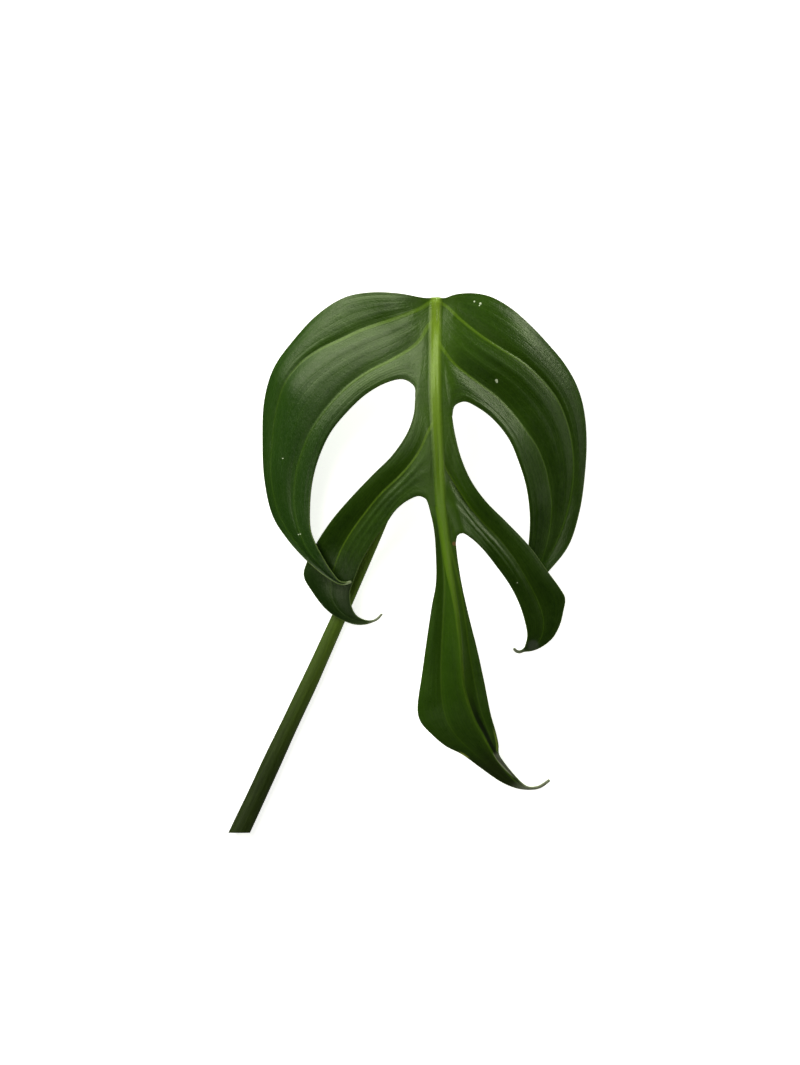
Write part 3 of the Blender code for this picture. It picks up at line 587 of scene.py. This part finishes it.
def finished(number, grid, veins, edges, stations, places, rise, strand, gap, run, along):
    """A lobe's grid with its relief, and its fields."""
    strand = np.broadcast_to(strand, run.shape)
    places = places[:, None]
    beside = line_distance(grid, MIDRIB_LINE)
    away, margin = (
        np.min([line_distance(grid, line) for line in lines], axis=0) for lines in (veins, edges)
    )
    shaped = relief(grid, number, run, beside, stations, veins, places, rise, strand, gap, along)
    return shaped, fields(number, beside, stations, strand, gap, away, margin, places, along)


def grid_triangles(rows, columns, turned):
    """Two triangles for each cell of a grid, facing up; turned is for a grid that runs the other way."""
    index = np.arange(rows * columns).reshape(rows, columns)
    a, b, c, d = index[:-1, :-1], index[1:, :-1], index[1:, 1:], index[:-1, 1:]
    faces = np.stack((np.stack((a, b, c), -1), np.stack((a, c, d), -1)), 2).reshape(-1, 3)
    return faces[:, ::-1] if turned else faces


def blade():
    """The whole blade as one closed shell: points, triangles, and the fields of each triangle corner."""
    left_rails = (UPPER_LEFT_OUTER, UPPER_LEFT_VEIN_1, UPPER_LEFT_VEIN_2, UPPER_LEFT_INNER)
    right_rails = (UPPER_RIGHT_OUTER, UPPER_RIGHT_VEIN_1, UPPER_RIGHT_VEIN_2, UPPER_RIGHT_INNER)
    upper, lower = (False, False, False, True), (True, False, True)
    lobes = (
        (side_lobe(0, left_rails, (0.0, UPPER_VEIN_1, LEFT_VEIN_2, UPPER_LEFT_WEB), upper, "upper"), False),
        (side_lobe(1, right_rails, (0.0, UPPER_VEIN_1, RIGHT_VEIN_2, UPPER_RIGHT_WEB), upper, "upper"), True),
        (side_lobe(2, (LOWER_LEFT_OUTER, LOWER_LEFT_VEIN, LOWER_LEFT_INNER),
                   (UPPER_LEFT_WEB, UPPER_RIGHT_WEB, LOWER_LEFT_WEB), lower, "lower"), False),
        (side_lobe(3, (LOWER_RIGHT_OUTER, LOWER_RIGHT_VEIN, LOWER_RIGHT_INNER),
                   (UPPER_RIGHT_WEB, RIGHT_LOWER_VEIN, LOWER_RIGHT_WEB), lower, "lower"), True),
        (end_half(4, END_LEFT, END_LEFT_VEIN, LOWER_LEFT_WEB), False),
        (end_half(5, END_RIGHT, END_RIGHT_VEIN, LOWER_RIGHT_WEB), True),
    )
    return shell(lobes)


def shell(lobes):
    """The lobes joined along the midrib and the webs, then given their thickness and a rounded edge.

    The faces lie above and below the middle layer along its normals. The edge is a half round from
    one to the other: middle + half the thickness * cos(turn) + the way outward * bulge * sin(turn).
    A loose triangle keeps its lobe's own points, so that every lobe keeps its own fields at a seam.
    """
    points = np.concatenate([shaped[0].reshape(-1, 3) for (shaped, _), _ in lobes])
    above = np.concatenate([shaped[1].ravel() for (shaped, _), _ in lobes])
    below = np.concatenate([shaped[2].ravel() for (shaped, _), _ in lobes])
    names = lobes[0][0][1]
    marks = {name: np.concatenate([marked[name].ravel() for (_, marked), _ in lobes]) for name in names}
    starts = np.cumsum([0] + [shaped[0].shape[0] * shaped[0].shape[1] for (shaped, _), _ in lobes])
    loose = np.concatenate([
        start + grid_triangles(*shaped[0].shape[:2], turned)
        for start, ((shaped, _), turned) in zip(starts, lobes)
    ])
    thin = 1 - RIM_THINNING * bell(marks["margin"], RIM_REACH)
    above, below = above * thin, below * thin
    _, first, joined = np.unique(np.round(points, 4), axis=0, return_index=True, return_inverse=True)
    points, above, below, faces = points[first], above[first], below[first], joined.ravel()[loose]
    kept = (faces[:, 0] != faces[:, 1]) & (faces[:, 1] != faces[:, 2]) & (faces[:, 2] != faces[:, 0])
    faces, loose = faces[kept], loose[kept]
    normals = point_normals(points, faces)
    top = points + normals * above[:, None]
    bottom = points - normals * below[:, None]
    top[:, 2] = top[:, 2].clip(0.5 * BLADE_THICKNESS)
    bottom[:, 2] = bottom[:, 2].clip(0.0)

    edges, loose_edges = triangle_edges(faces), triangle_edges(loose)
    _, index, uses = np.unique(np.sort(edges, axis=1), axis=0, return_inverse=True, return_counts=True)
    rim = uses[index.ravel()] == 1
    a, b = edges[rim].T
    outward = np.zeros_like(points)
    way = np.cross(points[b] - points[a], normals[a] + normals[b])
    np.add.at(outward, a, way)
    np.add.at(outward, b, way)
    rim_points = np.unique(a)
    outward = unit(outward[rim_points])
    place = np.full(len(points), -1)
    place[rim_points] = np.arange(len(rim_points))
    turns = np.pi * (np.arange(1, EDGE_STEPS) / EDGE_STEPS)
    middle = 0.5 * (top[rim_points] + bottom[rim_points])
    half = 0.5 * (top[rim_points] - bottom[rim_points])
    bulge = np.linalg.norm(half, axis=1)[:, None] * EDGE_BULGE
    layers = [middle + half * np.cos(turn) + outward * bulge * np.sin(turn) for turn in turns]
    for layer in layers:
        layer[:, 2] = layer[:, 2].clip(0.0)

    count, rings = len(points), len(rim_points)
    firsts = 2 * count + rings * np.arange(EDGE_STEPS - 1)
    levels = [(a, b), *((first + place[a], first + place[b]) for first in firsts), (a + count, b + count)]
    rim_faces = np.concatenate([
        face for (a_up, b_up), (a_low, b_low) in zip(levels[:-1], levels[1:])
        for face in (np.stack((b_up, a_up, a_low), 1), np.stack((b_up, a_low, b_low), 1))
    ])
    la, lb = loose_edges[rim].T
    step_loose = np.concatenate((np.stack((lb, la, la), 1), np.stack((lb, la, lb), 1)))
    rim_loose = np.tile(step_loose, (EDGE_STEPS, 1))
    all_faces = np.concatenate((faces, faces[:, ::-1] + count, rim_faces))
    all_loose = np.concatenate((loose, loose[:, ::-1], rim_loose))
    corner_fields = {name: values[all_loose].ravel() for name, values in marks.items()}
    rim_under = np.repeat((np.arange(EDGE_STEPS) + 0.5) / EDGE_STEPS, 6 * len(a))
    corner_fields["under"] = np.concatenate((np.zeros(3 * len(faces)), np.ones(3 * len(faces)), rim_under))
    return np.concatenate((top, bottom, *layers)), all_faces, corner_fields


def triangle_edges(faces):
    """The three edges of every triangle: all first ones, then all second ones, then all third ones."""
    return np.concatenate((faces[:, (0, 1)], faces[:, (1, 2)], faces[:, (2, 0)]))


def point_normals(points, faces):
    """The unit mean of the normals of the triangles round each point, weighted by their areas."""
    corners = points[faces]
    face_normals = np.cross(corners[:, 1] - corners[:, 0], corners[:, 2] - corners[:, 0])
    normals = np.zeros_like(points)
    for corner in range(3):
        np.add.at(normals, faces[:, corner], face_normals)
    return unit(normals)


def unit(vectors):
    """Every vector at a length of 1."""
    return vectors / np.linalg.norm(vectors, axis=1)[:, None].clip(1e-12)


def stalk():
    """The stalk as a tube along its centre line, with its cut face, and the fields of its points.

    A ring's point lies at centre + radius * (cos a * side + sin a * up). The radius wavers slightly
    along the line, as sines of the length, and shallow ridges run along it, as cosines of the angle.
    Near the cut the points are slid along the stalk onto the cut's line.
    """
    line = smooth_curve(STALK, eased(STALK_RINGS))
    centres, radii = line[:, :3], line[:, 3]
    length = np.concatenate(([0.0], np.cumsum(np.linalg.norm(np.diff(centres, axis=0), axis=1))))
    tangents = unit(np.gradient(centres, axis=0))
    side = unit(np.array((1.0, 0.0, 0.0)) - tangents * tangents[:, :1])
    up = np.cross(side, tangents)
    angles = 2 * np.pi * np.arange(STALK_SIDES) / STALK_SIDES
    ridges = sum((part * np.cos(count * angles + turn) for part, count, turn in STALK_RIDGES), 1)
    swell = sum((part * np.sin(length / reach + turn) for part, reach, turn in STALK_WAVES), 1)
    across = (radii * swell)[:, None, None] * ridges[None, :, None] * (
        np.cos(angles)[None, :, None] * side[:, None, :] + np.sin(angles)[None, :, None] * up[:, None, :]
    )
    rings = centres[:, None, :] + across
    slide = (CUT_LINE - rings[0, :, 1]) / tangents[0, 1]
    near = 1 - smoothstep(0.0, CUT_REACH, length)
    rings += near[:, None, None] * slide[None, :, None] * tangents[:, None, :]
    rings[:, :, 2] = rings[:, :, 2].clip(0.0)
    marks = {
        "along": np.repeat(length, STALK_SIDES),
        "around": np.tile(np.sin(angles), len(rings)),
        "around_2": np.tile(np.cos(angles), len(rings)),
        "core": np.zeros(rings[:, :, 0].size),
    }
    index = np.arange(rings[:, :, 0].size).reshape(rings.shape[:2])
    turned = np.roll(index, -1, axis=1)
    walls = np.stack((index[:-1], index[1:], turned[1:], turned[:-1]), -1).reshape(-1, 4).tolist()
    points, faces = [rings.reshape(-1, 3)], walls
    middle = rings[0].mean(axis=0)
    last, count = index[0], index.size
    for ring in range(1, CUT_RINGS):
        share = 1 - ring / CUT_RINGS
        sunk = np.array((0.0, cut_depth(1 - share), 0.0))
        points.append(middle + share * (rings[0] - middle) + sunk)
        new = count + np.arange(STALK_SIDES)
        faces += np.stack((last, np.roll(last, -1), np.roll(new, -1), new), -1).tolist()
        last, count = new, count + STALK_SIDES
    faces.append(last.tolist())
    faces.append(index[-1, ::-1].tolist())
    extra = (CUT_RINGS - 1) * STALK_SIDES
    core = np.repeat(np.arange(1, CUT_RINGS) / CUT_RINGS, STALK_SIDES)
    marks = {name: np.concatenate((values, np.zeros(extra))) for name, values in marks.items()}
    marks["core"][-extra:] = core
    return np.concatenate(points), faces, marks


def cut_depth(inward):
    """How far the cut face is sunk in, from its rim at 0 to its middle at 1, in mm.

    It is a groove, sin(pi * 3 * inward) over the outer third, and a hollow that deepens evenly.
    """
    return CUT_GROOVE * np.sin(np.pi * min(1.0, CUT_GROOVES * inward)) + CUT_HOLLOW * inward


class Wire:
    """One value in a material's node tree. Arithmetic with other wires or numbers adds Math nodes."""

    def __init__(self, tree, socket=None):
        self.tree, self.socket = tree, socket

    def make(self, kind, inputs=None, output=0, **settings):
        """Adds any node: its settings first, then the values or wires of its sockets. Gives one output."""
        node = self.tree.nodes.new(kind)
        for name, value in settings.items():
            setattr(node, name, value)
        for place, value in (inputs or {}).items():
            if isinstance(value, Wire):
                self.tree.links.new(value.socket, node.inputs[place])
            else:
                node.inputs[place].default_value = value
        return Wire(self.tree, node.outputs[output])

    def math(self, operation, *others):
        """A Math node of this value and up to two more."""
        return self.make("ShaderNodeMath", dict(enumerate((self, *others))), operation=operation)

    def __add__(self, other):
        return self.math("ADD", other)

    def __sub__(self, other):
        return self.math("SUBTRACT", other)

    def __rsub__(self, other):
        return self.make("ShaderNodeMath", {0: other, 1: self}, operation="SUBTRACT")

    def __mul__(self, other):
        return self.math("MULTIPLY", other)

    __radd__ = __add__
    __rmul__ = __mul__

    def rise(self, low, high):
        """0 at low and 1 at high with a soft start and end; low may be the larger."""
        if low > high:
            return 1.0 - self.rise(high, low)
        places = {0: self, 1: low, 2: high}
        return self.make("ShaderNodeMapRange", places, interpolation_type="SMOOTHSTEP")

    def field(self, name):
        """A field stored on the piece's mesh."""
        return self.make("ShaderNodeAttribute", output="Fac", attribute_name=name)

    def noise(self, scale, detail=2.0, roughness=0.5):
        """Cloudy noise from 0 to 1 at this place."""
        return self.make("ShaderNodeTexNoise", {
            "Vector": self, "Scale": scale, "Detail": detail, "Roughness": roughness,
        })

    def colour(self, low, high):
        """The colour between low, at 0, and high, at 1. Either may be a wire."""
        sides = [(*side, 1.0) if isinstance(side, tuple) else side for side in (low, high)]
        return self.make(
            "ShaderNodeMix", {0: self, 6: sides[0], 7: sides[1]}, 2, data_type="RGBA", clamp_factor=True
        )


def place(x, y, z=0.0):
    """A place made of up to three numbers or wires, of which the first is a wire."""
    return x.make("ShaderNodeCombineXYZ", {0: x, 1: y, 2: z})


def spot(object_place, photo_x, photo_y, radius):
    """1 inside a small round mark seen from above, 0 outside it, by the level distance from its middle."""
    middle = (*((np.array(leaf_place(photo_x, photo_y)) + JOINT[:2]) * MM), 0.0)
    level = {0: object_place, 1: (1.0, 1.0, 0.0)}
    flat = object_place.make("ShaderNodeVectorMath", level, operation="MULTIPLY")
    away = flat.make("ShaderNodeVectorMath", {0: flat, 1: middle}, "Value", operation="DISTANCE")
    return away.rise(radius * MM, 0.5 * radius * MM)


def leaf_place(photo_x, photo_y):
    """Leaf millimetres of a place in the picture's frame, at the surface."""
    return (photo_x - JOINT_COLUMN) * PIXEL, (JOINT_ROW - photo_y) * PIXEL


def layered(tone, *layers):
    """A colour with others laid over it in turn, each given as where it shows, how strongly, and itself."""
    for shown, strength, colour in layers:
        tone = (shown * strength).colour(tone, colour)
    return tone


def new_material(name, **constants):
    """A material with its shader's plain numbers set, and the wire that its nodes start from."""
    material = bpy.data.materials.new(name)
    material.use_nodes = True
    shader = material.node_tree.nodes["Principled BSDF"]
    for key, value in constants.items():
        shader.inputs[key.replace("_", " ")].default_value = value
    return material, shader, Wire(material.node_tree)


def connect(shader, **wires):
    """Joins wires to the shader's sockets."""
    for key, wire in wires.items():
        wire.tree.links.new(wire.socket, shader.inputs[key.replace("_", " ")])


def bump(height):
    """A normal bent by a height from 0 to 1, which stands for the full depth."""
    sockets = {"Height": height, "Distance": BUMP_DEPTH * MM, "Strength": 1.0}
    return height.make("ShaderNodeBump", sockets, "Normal")


class LeafTones:
    """What the blade's colours go by: its fields, its noises, and which lobe a place is in."""

    def __init__(self, start):
        for name in ("strand", "gap", "along", "midrib", "vein", "margin", "down", "share", "under"):
            setattr(self, name, start.field(name))
        self.where = start.make("ShaderNodeTexCoord", output="Object")

        beside = (0.5 - (self.strand.math("FRACT") - 0.5).math("ABSOLUTE")) * self.gap
        lobe = self.strand * 2.0
        streaks = place(beside, self.along * 0.12, lobe)
        self.broad, self.narrow = streaks.noise(0.35, 3.0), streaks.noise(1.5, 3.0, 0.6)
        self.crinkle = place(beside, self.along * 0.6, lobe).noise(1.2, 4.0, 0.65)
        self.wrinkle = place(beside, self.along * 0.75, lobe).noise(2.6, 3.0, 0.6)
        self.cloud = self.where.noise(90.0, 3.0, 0.55)
        self.leather = self.where.noise(620.0, 3.0, 0.6)
        self.grain = self.where.noise(2600.0, 2.0, 0.6)
        self.pores = self.where.noise(7000.0, 1.0)

        warped = self.strand * 8.0 + 1.2 * streaks.noise(0.25, 1.0) + 0.2 * streaks.noise(0.9, 1.0)
        thread_away = (warped.math("FRACT") - 0.5).math("ABSOLUTE") * self.gap * 0.125
        self.threads = thread_away.rise(0.32, 0.05) * self.gap.rise(2.0, 7.0) * self.broad.rise(0.25, 0.6)

        self.right_upper_on = self.from_lobe(1)
        self.lower_on = self.from_lobe(2)
        self.left_lower = self.lower_on * (1.0 - self.from_lobe(3))
        self.end = self.from_lobe(4)
        self.end_right = self.from_lobe(5)

    def from_lobe(self, number):
        """1 in the lobe that has this number in blade() and in all later ones, 0 in the earlier ones."""
        first = LOBE_STRANDS * number
        return self.strand.rise(first - 1.0, first - 0.1)


def flesh_tones(leaf):
    """The blade between its veins: deep green with streaks, paler near the veins, darker towards the lobes'
    tips as painted shade, lighter near the midrib as painted sheen, and lighter in the end lobe's left half
    as painted light.
    """
    flesh = (0.55 * leaf.broad + 0.45 * leaf.cloud).rise(0.3, 0.72)
    return layered(
        flesh.colour((0.0105, 0.032, 0.0008), (0.023, 0.060, 0.0016)),
        # painted shade: darker towards each lobe's tip
        (leaf.share.rise(0.35, 0.8), 0.75, (0.007, 0.021, 0.0006)),
        # painted sheen: lighter green near the midrib
        (leaf.midrib.rise(5.8, 1.2), 0.35, (0.046, 0.098, 0.004)),
        ((0.5 * leaf.leather + 0.5 * leaf.wrinkle).rise(0.35, 0.65), 0.28, (0.032, 0.076, 0.002)),
        (leaf.vein.rise(6.0, 0.8), 0.20, (0.040, 0.090, 0.003)),
        (leaf.narrow.rise(0.45, 0.75), 0.18, (0.038, 0.082, 0.004)),
        (leaf.threads, 0.12, (0.050, 0.100, 0.006)),
        # painted light: the end lobe's left half lighter, fading out towards its tip
        (leaf.end * (1.0 - leaf.end_right) * leaf.down.rise(156.0, 136.0), 0.25, (0.036, 0.105, 0.0005)),
    )


def vein_tones(leaf, top):
    """The yellow-green side veins, duller towards the tips."""
    tone = leaf.share.rise(0.75, 0.05).colour((0.036, 0.080, 0.003), (0.072, 0.138, 0.005))
    tone = (leaf.left_lower * leaf.share.rise(0.78, 0.58)).colour(tone, (0.074, 0.138, 0.006))
    return (leaf.vein.rise(1.05, 0.35) * (1.0 - 0.5 * leaf.end)).colour(top, tone)


def lobe_tones(leaf, top):
    """The lobes' tones towards their tips: painted shade on the upper left lobe's outer half, at its tip, on
    the lower left lobe's outer part and near the end lobe's tip, a brighter green at the upper right tip,
    painted shade in a band beside the midrib where the end lobe is folded on its right, and its pale ear
    there.
    """
    share, down = leaf.share, leaf.down
    # the upper left tip gets painted shade, the upper right tip a brighter green
    tip = leaf.right_upper_on.colour((0.006, 0.018, 0.0035), (0.028, 0.085, 0.0010))
    # painted shade in a band beside the midrib where the end lobe is folded up
    fold_shade = down.rise(134.0, 152.0) * leaf.midrib.rise(5.5, 3.5) * leaf.midrib.rise(0.5, 1.0)
    ear = leaf.margin.rise(0.9, 0.3) * down.rise(154.0, 158.0) * down.rise(164.5, 162.5)
    return layered(
        top,
        # painted shade on the upper left lobe's outer half
        (share.rise(0.30, 0.55) * (1.0 - leaf.right_upper_on), 0.5, (0.004, 0.028, 0.0004)),
        # the upper lobes' tips: painted shade on the upper left, brighter green on the upper right
        (share.rise(0.78, 0.92) * (1.0 - leaf.lower_on), 0.85, tip),
        # painted shade on the lower left lobe's outer part
        (share.rise(0.55, 0.75) * leaf.left_lower, 0.7, (0.003, 0.012, 0.0005)),
        # painted shade near the end lobe's tip
        (down.rise(156.0, 170.0) * leaf.end, 0.8, (0.012, 0.018, 0.0025)),
        # painted shade in the band beside the midrib where the end lobe is folded up
        (leaf.end_right * fold_shade, 0.92, (0.003, 0.007, 0.0010)),
        (leaf.end_right * ear, 0.9, (0.130, 0.190, 0.025)),
    )


def line_tones(leaf, top):
    """The thin edge, the midrib, pale at the joint and duller in the end lobe, and the tips, dried pale."""
    share, down = leaf.share, leaf.down
    edge = share.rise(0.4, 0.8).colour((0.032, 0.056, 0.008), (0.066, 0.105, 0.022))
    top = leaf.margin.rise(0.24, 0.08).colour(top, edge)
    rib_low = down.rise(85.0, 135.0).colour((0.085, 0.165, 0.008), (0.038, 0.085, 0.003))
    rib = down.rise(75.0, 10.0).colour(rib_low, (0.150, 0.240, 0.016))
    rib = (leaf.narrow.rise(0.4, 0.7) * 0.25).colour(rib, (0.120, 0.180, 0.015))
    top = leaf.midrib.rise(1.3, 0.4).colour(top, rib)
    tips = share.rise(0.90, 0.985) * leaf.lower_on * (1.0 - leaf.end) + down.rise(176.0, 184.0) * leaf.end
    return layered(
        top,
        (tips, 0.9, (0.240, 0.260, 0.180)),
        (share.rise(0.965, 0.985) * (1.0 - leaf.lower_on), 0.9, (0.210, 0.260, 0.140)),
    )


def mark_tones(leaf, top):
    """The withered place, the specks, the scar, the yellowed edge, and the edge turned over near the tip."""
    top = (spot(leaf.where, *WITHERED) * 0.8).colour(top, (0.060, 0.074, 0.048))
    for mark in SPECKS:
        top = spot(leaf.where, *mark).colour(top, (0.55, 0.62, 0.45))
    top = spot(leaf.where, *SCAR).colour(top, (0.150, 0.085, 0.030))
    top = (spot(leaf.where, *YELLOWED) * leaf.margin.rise(1.0, 0.3)).colour(top, (0.22, 0.26, 0.04))
    inward = leaf.margin + TURNED_SLANT * leaf.down - TURNED_START
    turned = leaf.end_right * leaf.down.rise(163.5, 165.5) * leaf.down.rise(178.0, 172.0)
    top = (turned * inward.rise(2.0, 1.7)).colour(top, (0.090, 0.100, 0.068))
    crease = (inward - TURNED_WIDTH).math("ABSOLUTE").rise(0.30, 0.10)
    return (turned * crease).colour(top, (0.240, 0.260, 0.170))


def back_tones(leaf):
    """The paler underside with its veins and midrib."""
    mottle = (0.5 * leaf.broad + 0.5 * leaf.cloud).rise(0.3, 0.7)
    back = mottle.colour((0.085, 0.130, 0.050), (0.130, 0.180, 0.085))
    back = (leaf.threads * 0.35).colour(back, (0.075, 0.130, 0.035))
    back = leaf.vein.rise(1.6, 0.5).colour(back, (0.150, 0.220, 0.060))
    return leaf.midrib.rise(1.3, 0.7).colour(back, (0.170, 0.250, 0.065))


def leaf_green():
    """The blade: deep green streaked along the veins, yellow-green veins and midrib, a paler underside."""
    material, shader, start = new_material(
        "leaf green", IOR=1.45, Specular_IOR_Level=0.5, Specular_Tint=(0.93, 1.0, 0.76, 1.0)
    )
    leaf = LeafTones(start)
    top = flesh_tones(leaf)
    for add_tones in (vein_tones, lobe_tones, line_tones, mark_tones):
        top = add_tones(leaf, top)
    rough = 0.33 + 0.10 * (leaf.grain - 0.5) + 0.16 * (leaf.leather - 0.5)
    rough = rough + 0.20 * (leaf.crinkle - 0.5) + 0.18 * leaf.under
    calm = 1.0 - 0.6 * leaf.lower_on
    crinkle = (leaf.crinkle - 0.5) * leaf.share.rise(0.03, 0.16) * calm + 0.5
    height = (0.05 * leaf.narrow - 0.10 * leaf.threads) * calm + 0.26 * crinkle + 0.40 * leaf.leather
    height = height + 0.22 * leaf.wrinkle + 0.08 * leaf.grain + 0.02 * leaf.pores
    connect(
        shader,
        Base_Color=leaf.under.rise(0.35, 0.65).colour(top, back_tones(leaf)),
        Roughness=rough,
        Normal=bump(height),
    )
    return material


def stalk_green():
    """The stalk: green with fine lengthwise fibres, darker towards the cut, its upper part lighter partly in
    its own yellow-green and partly as painted light, painted shade on its left side, and a pale cut face.
    """
    material, shader, start = new_material("stalk green", IOR=1.45, Specular_IOR_Level=0.10)
    along, core = start.field("along"), start.field("core")
    where = start.make("ShaderNodeTexCoord", output="Object")
    skin = place(start.field("around") * 2.3, start.field("around_2") * 2.3, along * 0.045)
    fibres, mottle = skin.noise(3.2, 4.0, 0.65), skin.noise(0.9, 3.0)
    grain = where.noise(2600.0, 2.0, 0.6)
    # lighter upper part: partly the stalk's own yellow-green, partly painted light where the blade shades it
    upper = along.rise(15.0, 95.0)
    tone = layered(
        upper.colour((0.0165, 0.0275, 0.0035), (0.081, 0.136, 0.0125)),
        # painted shade darkens the stalk's left side
        (start.field("around_2").rise(0.8, -0.8), 0.42, (0.004, 0.006, 0.001)),
        (fibres.rise(0.4, 0.75), 0.3, (0.050, 0.082, 0.012)),
        (mottle.rise(0.45, 0.75), 0.4, (0.016, 0.028, 0.004)),
    )
    pith = core.rise(0.05, 0.5).colour((0.200, 0.270, 0.090), (0.330, 0.370, 0.190))
    bundles = where.make("ShaderNodeTexVoronoi", {"Vector": where, "Scale": 1500.0})
    pith = (bundles.rise(0.32, 0.18) * core.rise(0.05, 0.2)).colour(pith, (0.110, 0.130, 0.045))
    height = 0.55 * fibres + 0.25 * grain + 0.20 * bundles * core.rise(0.02, 0.1)
    connect(
        shader,
        Base_Color=core.rise(0.01, 0.06).colour(tone, pith),
        Roughness=0.52 + 0.14 * (fibres - 0.5) + 0.12 * core,
        Normal=bump(height),
    )
    return material


def pale_floor():
    """A plain pale surface with the faintest mottling."""
    material, shader, start = new_material(
        "pale floor", Roughness=0.9, Specular_IOR_Level=0.0, Emission_Color=(1.0, 1.0, 1.0, 1.0),
        Emission_Strength=FLOOR_GLOW,
    )
    where = start.make("ShaderNodeTexCoord", output="Object")
    connect(shader, Base_Color=where.noise(9.0).colour((0.885, 0.885, 0.885), (0.900, 0.900, 0.900)))
    return material


def put(name, data):
    """A new object of the scene that holds a mesh, a lamp or a camera."""
    thing = bpy.data.objects.new(name, data)
    bpy.context.scene.collection.objects.link(thing)
    return thing


def add_piece(name, points, faces, marks, domain, material, node):
    """One piece of the cutting in the part's frame, in the place of the solid of that name."""
    mesh = bpy.data.meshes.new(name)
    mesh.from_pydata(((points + JOINT) * MM).tolist(), [], faces)
    for label, values in marks.items():
        mesh.attributes.new(label, "FLOAT", domain).data.foreach_set("value", values.astype(np.float32))
    mesh.shade_smooth()
    mesh.set_sharp_from_angle(angle=np.radians(SHARP_ANGLE))
    mesh.materials.append(material)
    mesh.validate()
    piece = put(name, mesh)
    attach(piece, "root")
    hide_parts(node)
    return piece


def add_floor():
    """A plane under the cutting, wide enough for every view."""
    corners = [(x * FLOOR_REACH, y * FLOOR_REACH, 0.0) for x, y in ((-1, -1), (1, -1), (1, 1), (-1, 1))]
    mesh = bpy.data.meshes.new("floor")
    mesh.from_pydata(corners, [], [(0, 1, 2, 3)])
    mesh.materials.append(pale_floor())
    floor = put("floor", mesh)
    floor.location.z = FLOOR_HEIGHT
    floor.visible_glossy = False


def add_softbox(name, azimuth, elevation, radiance):
    """A soft rectangular lamp that looks at the middle of the leaf from a compass angle and a height."""
    lamp = bpy.data.lights.new(name, "AREA")
    lamp.shape, lamp.size, lamp.size_y = "RECTANGLE", *LAMP_SIZE
    lamp.energy = radiance * np.pi * LAMP_SIZE[0] * LAMP_SIZE[1]
    lamp.color = LAMP_COLOUR
    holder = put(name, lamp)
    turn, lift = np.radians(azimuth), np.radians(elevation)
    way = np.array((np.cos(lift) * np.sin(turn), np.cos(lift) * np.cos(turn), np.sin(lift)))
    holder.location = way * LAMP_DISTANCE
    holder.rotation_euler = (np.pi / 2 - lift, 0.0, np.pi - turn)


def add_camera():
    """The picture's camera: straight down from far above with a long lens."""
    lens = bpy.data.cameras.new("camera")
    lens.sensor_fit, lens.sensor_height = "VERTICAL", SENSOR_HEIGHT
    lens.lens = SENSOR_HEIGHT * CAMERA_HEIGHT / (PICTURE_ROWS * PIXEL * MM)
    lens.clip_end = CAMERA_REACH
    camera = put("camera", lens)
    x, y = leaf_place(0.5 * PICTURE_COLUMNS, 0.5 * PICTURE_ROWS)
    camera.location = ((x + JOINT[0]) * MM, (y + JOINT[1] + CAMERA_SHIFT) * MM, CAMERA_HEIGHT)
    bpy.context.scene.camera = camera


def add_world():
    """A faint even light from all round, and colours shown as they are."""
    world = bpy.data.worlds.new("studio")
    world.use_nodes = True
    background = world.node_tree.nodes["Background"]
    background.inputs["Color"].default_value = (1.0, 1.0, 1.0, 1.0)
    background.inputs["Strength"].default_value = WORLD_LIGHT
    bpy.context.scene.world = world
    bpy.context.scene.view_settings.view_transform = "Standard"


add_world()
add_camera()
add_floor()
for number, (azimuth, elevation, radiance) in enumerate(STUDIO):
    add_softbox(f"softbox_{number}", azimuth, elevation, radiance)

blade_points, blade_faces, blade_marks = blade()
leaf = add_piece("fine_leaf_blade", blade_points, blade_faces.tolist(), blade_marks, "CORNER",
                 leaf_green(), "leaf_blade")
stalk_points, stalk_faces, stalk_marks = stalk()
stem = add_piece("fine_leaf_stalk", stalk_points, stalk_faces, stalk_marks, "POINT",
                 stalk_green(), "leaf_stalk")
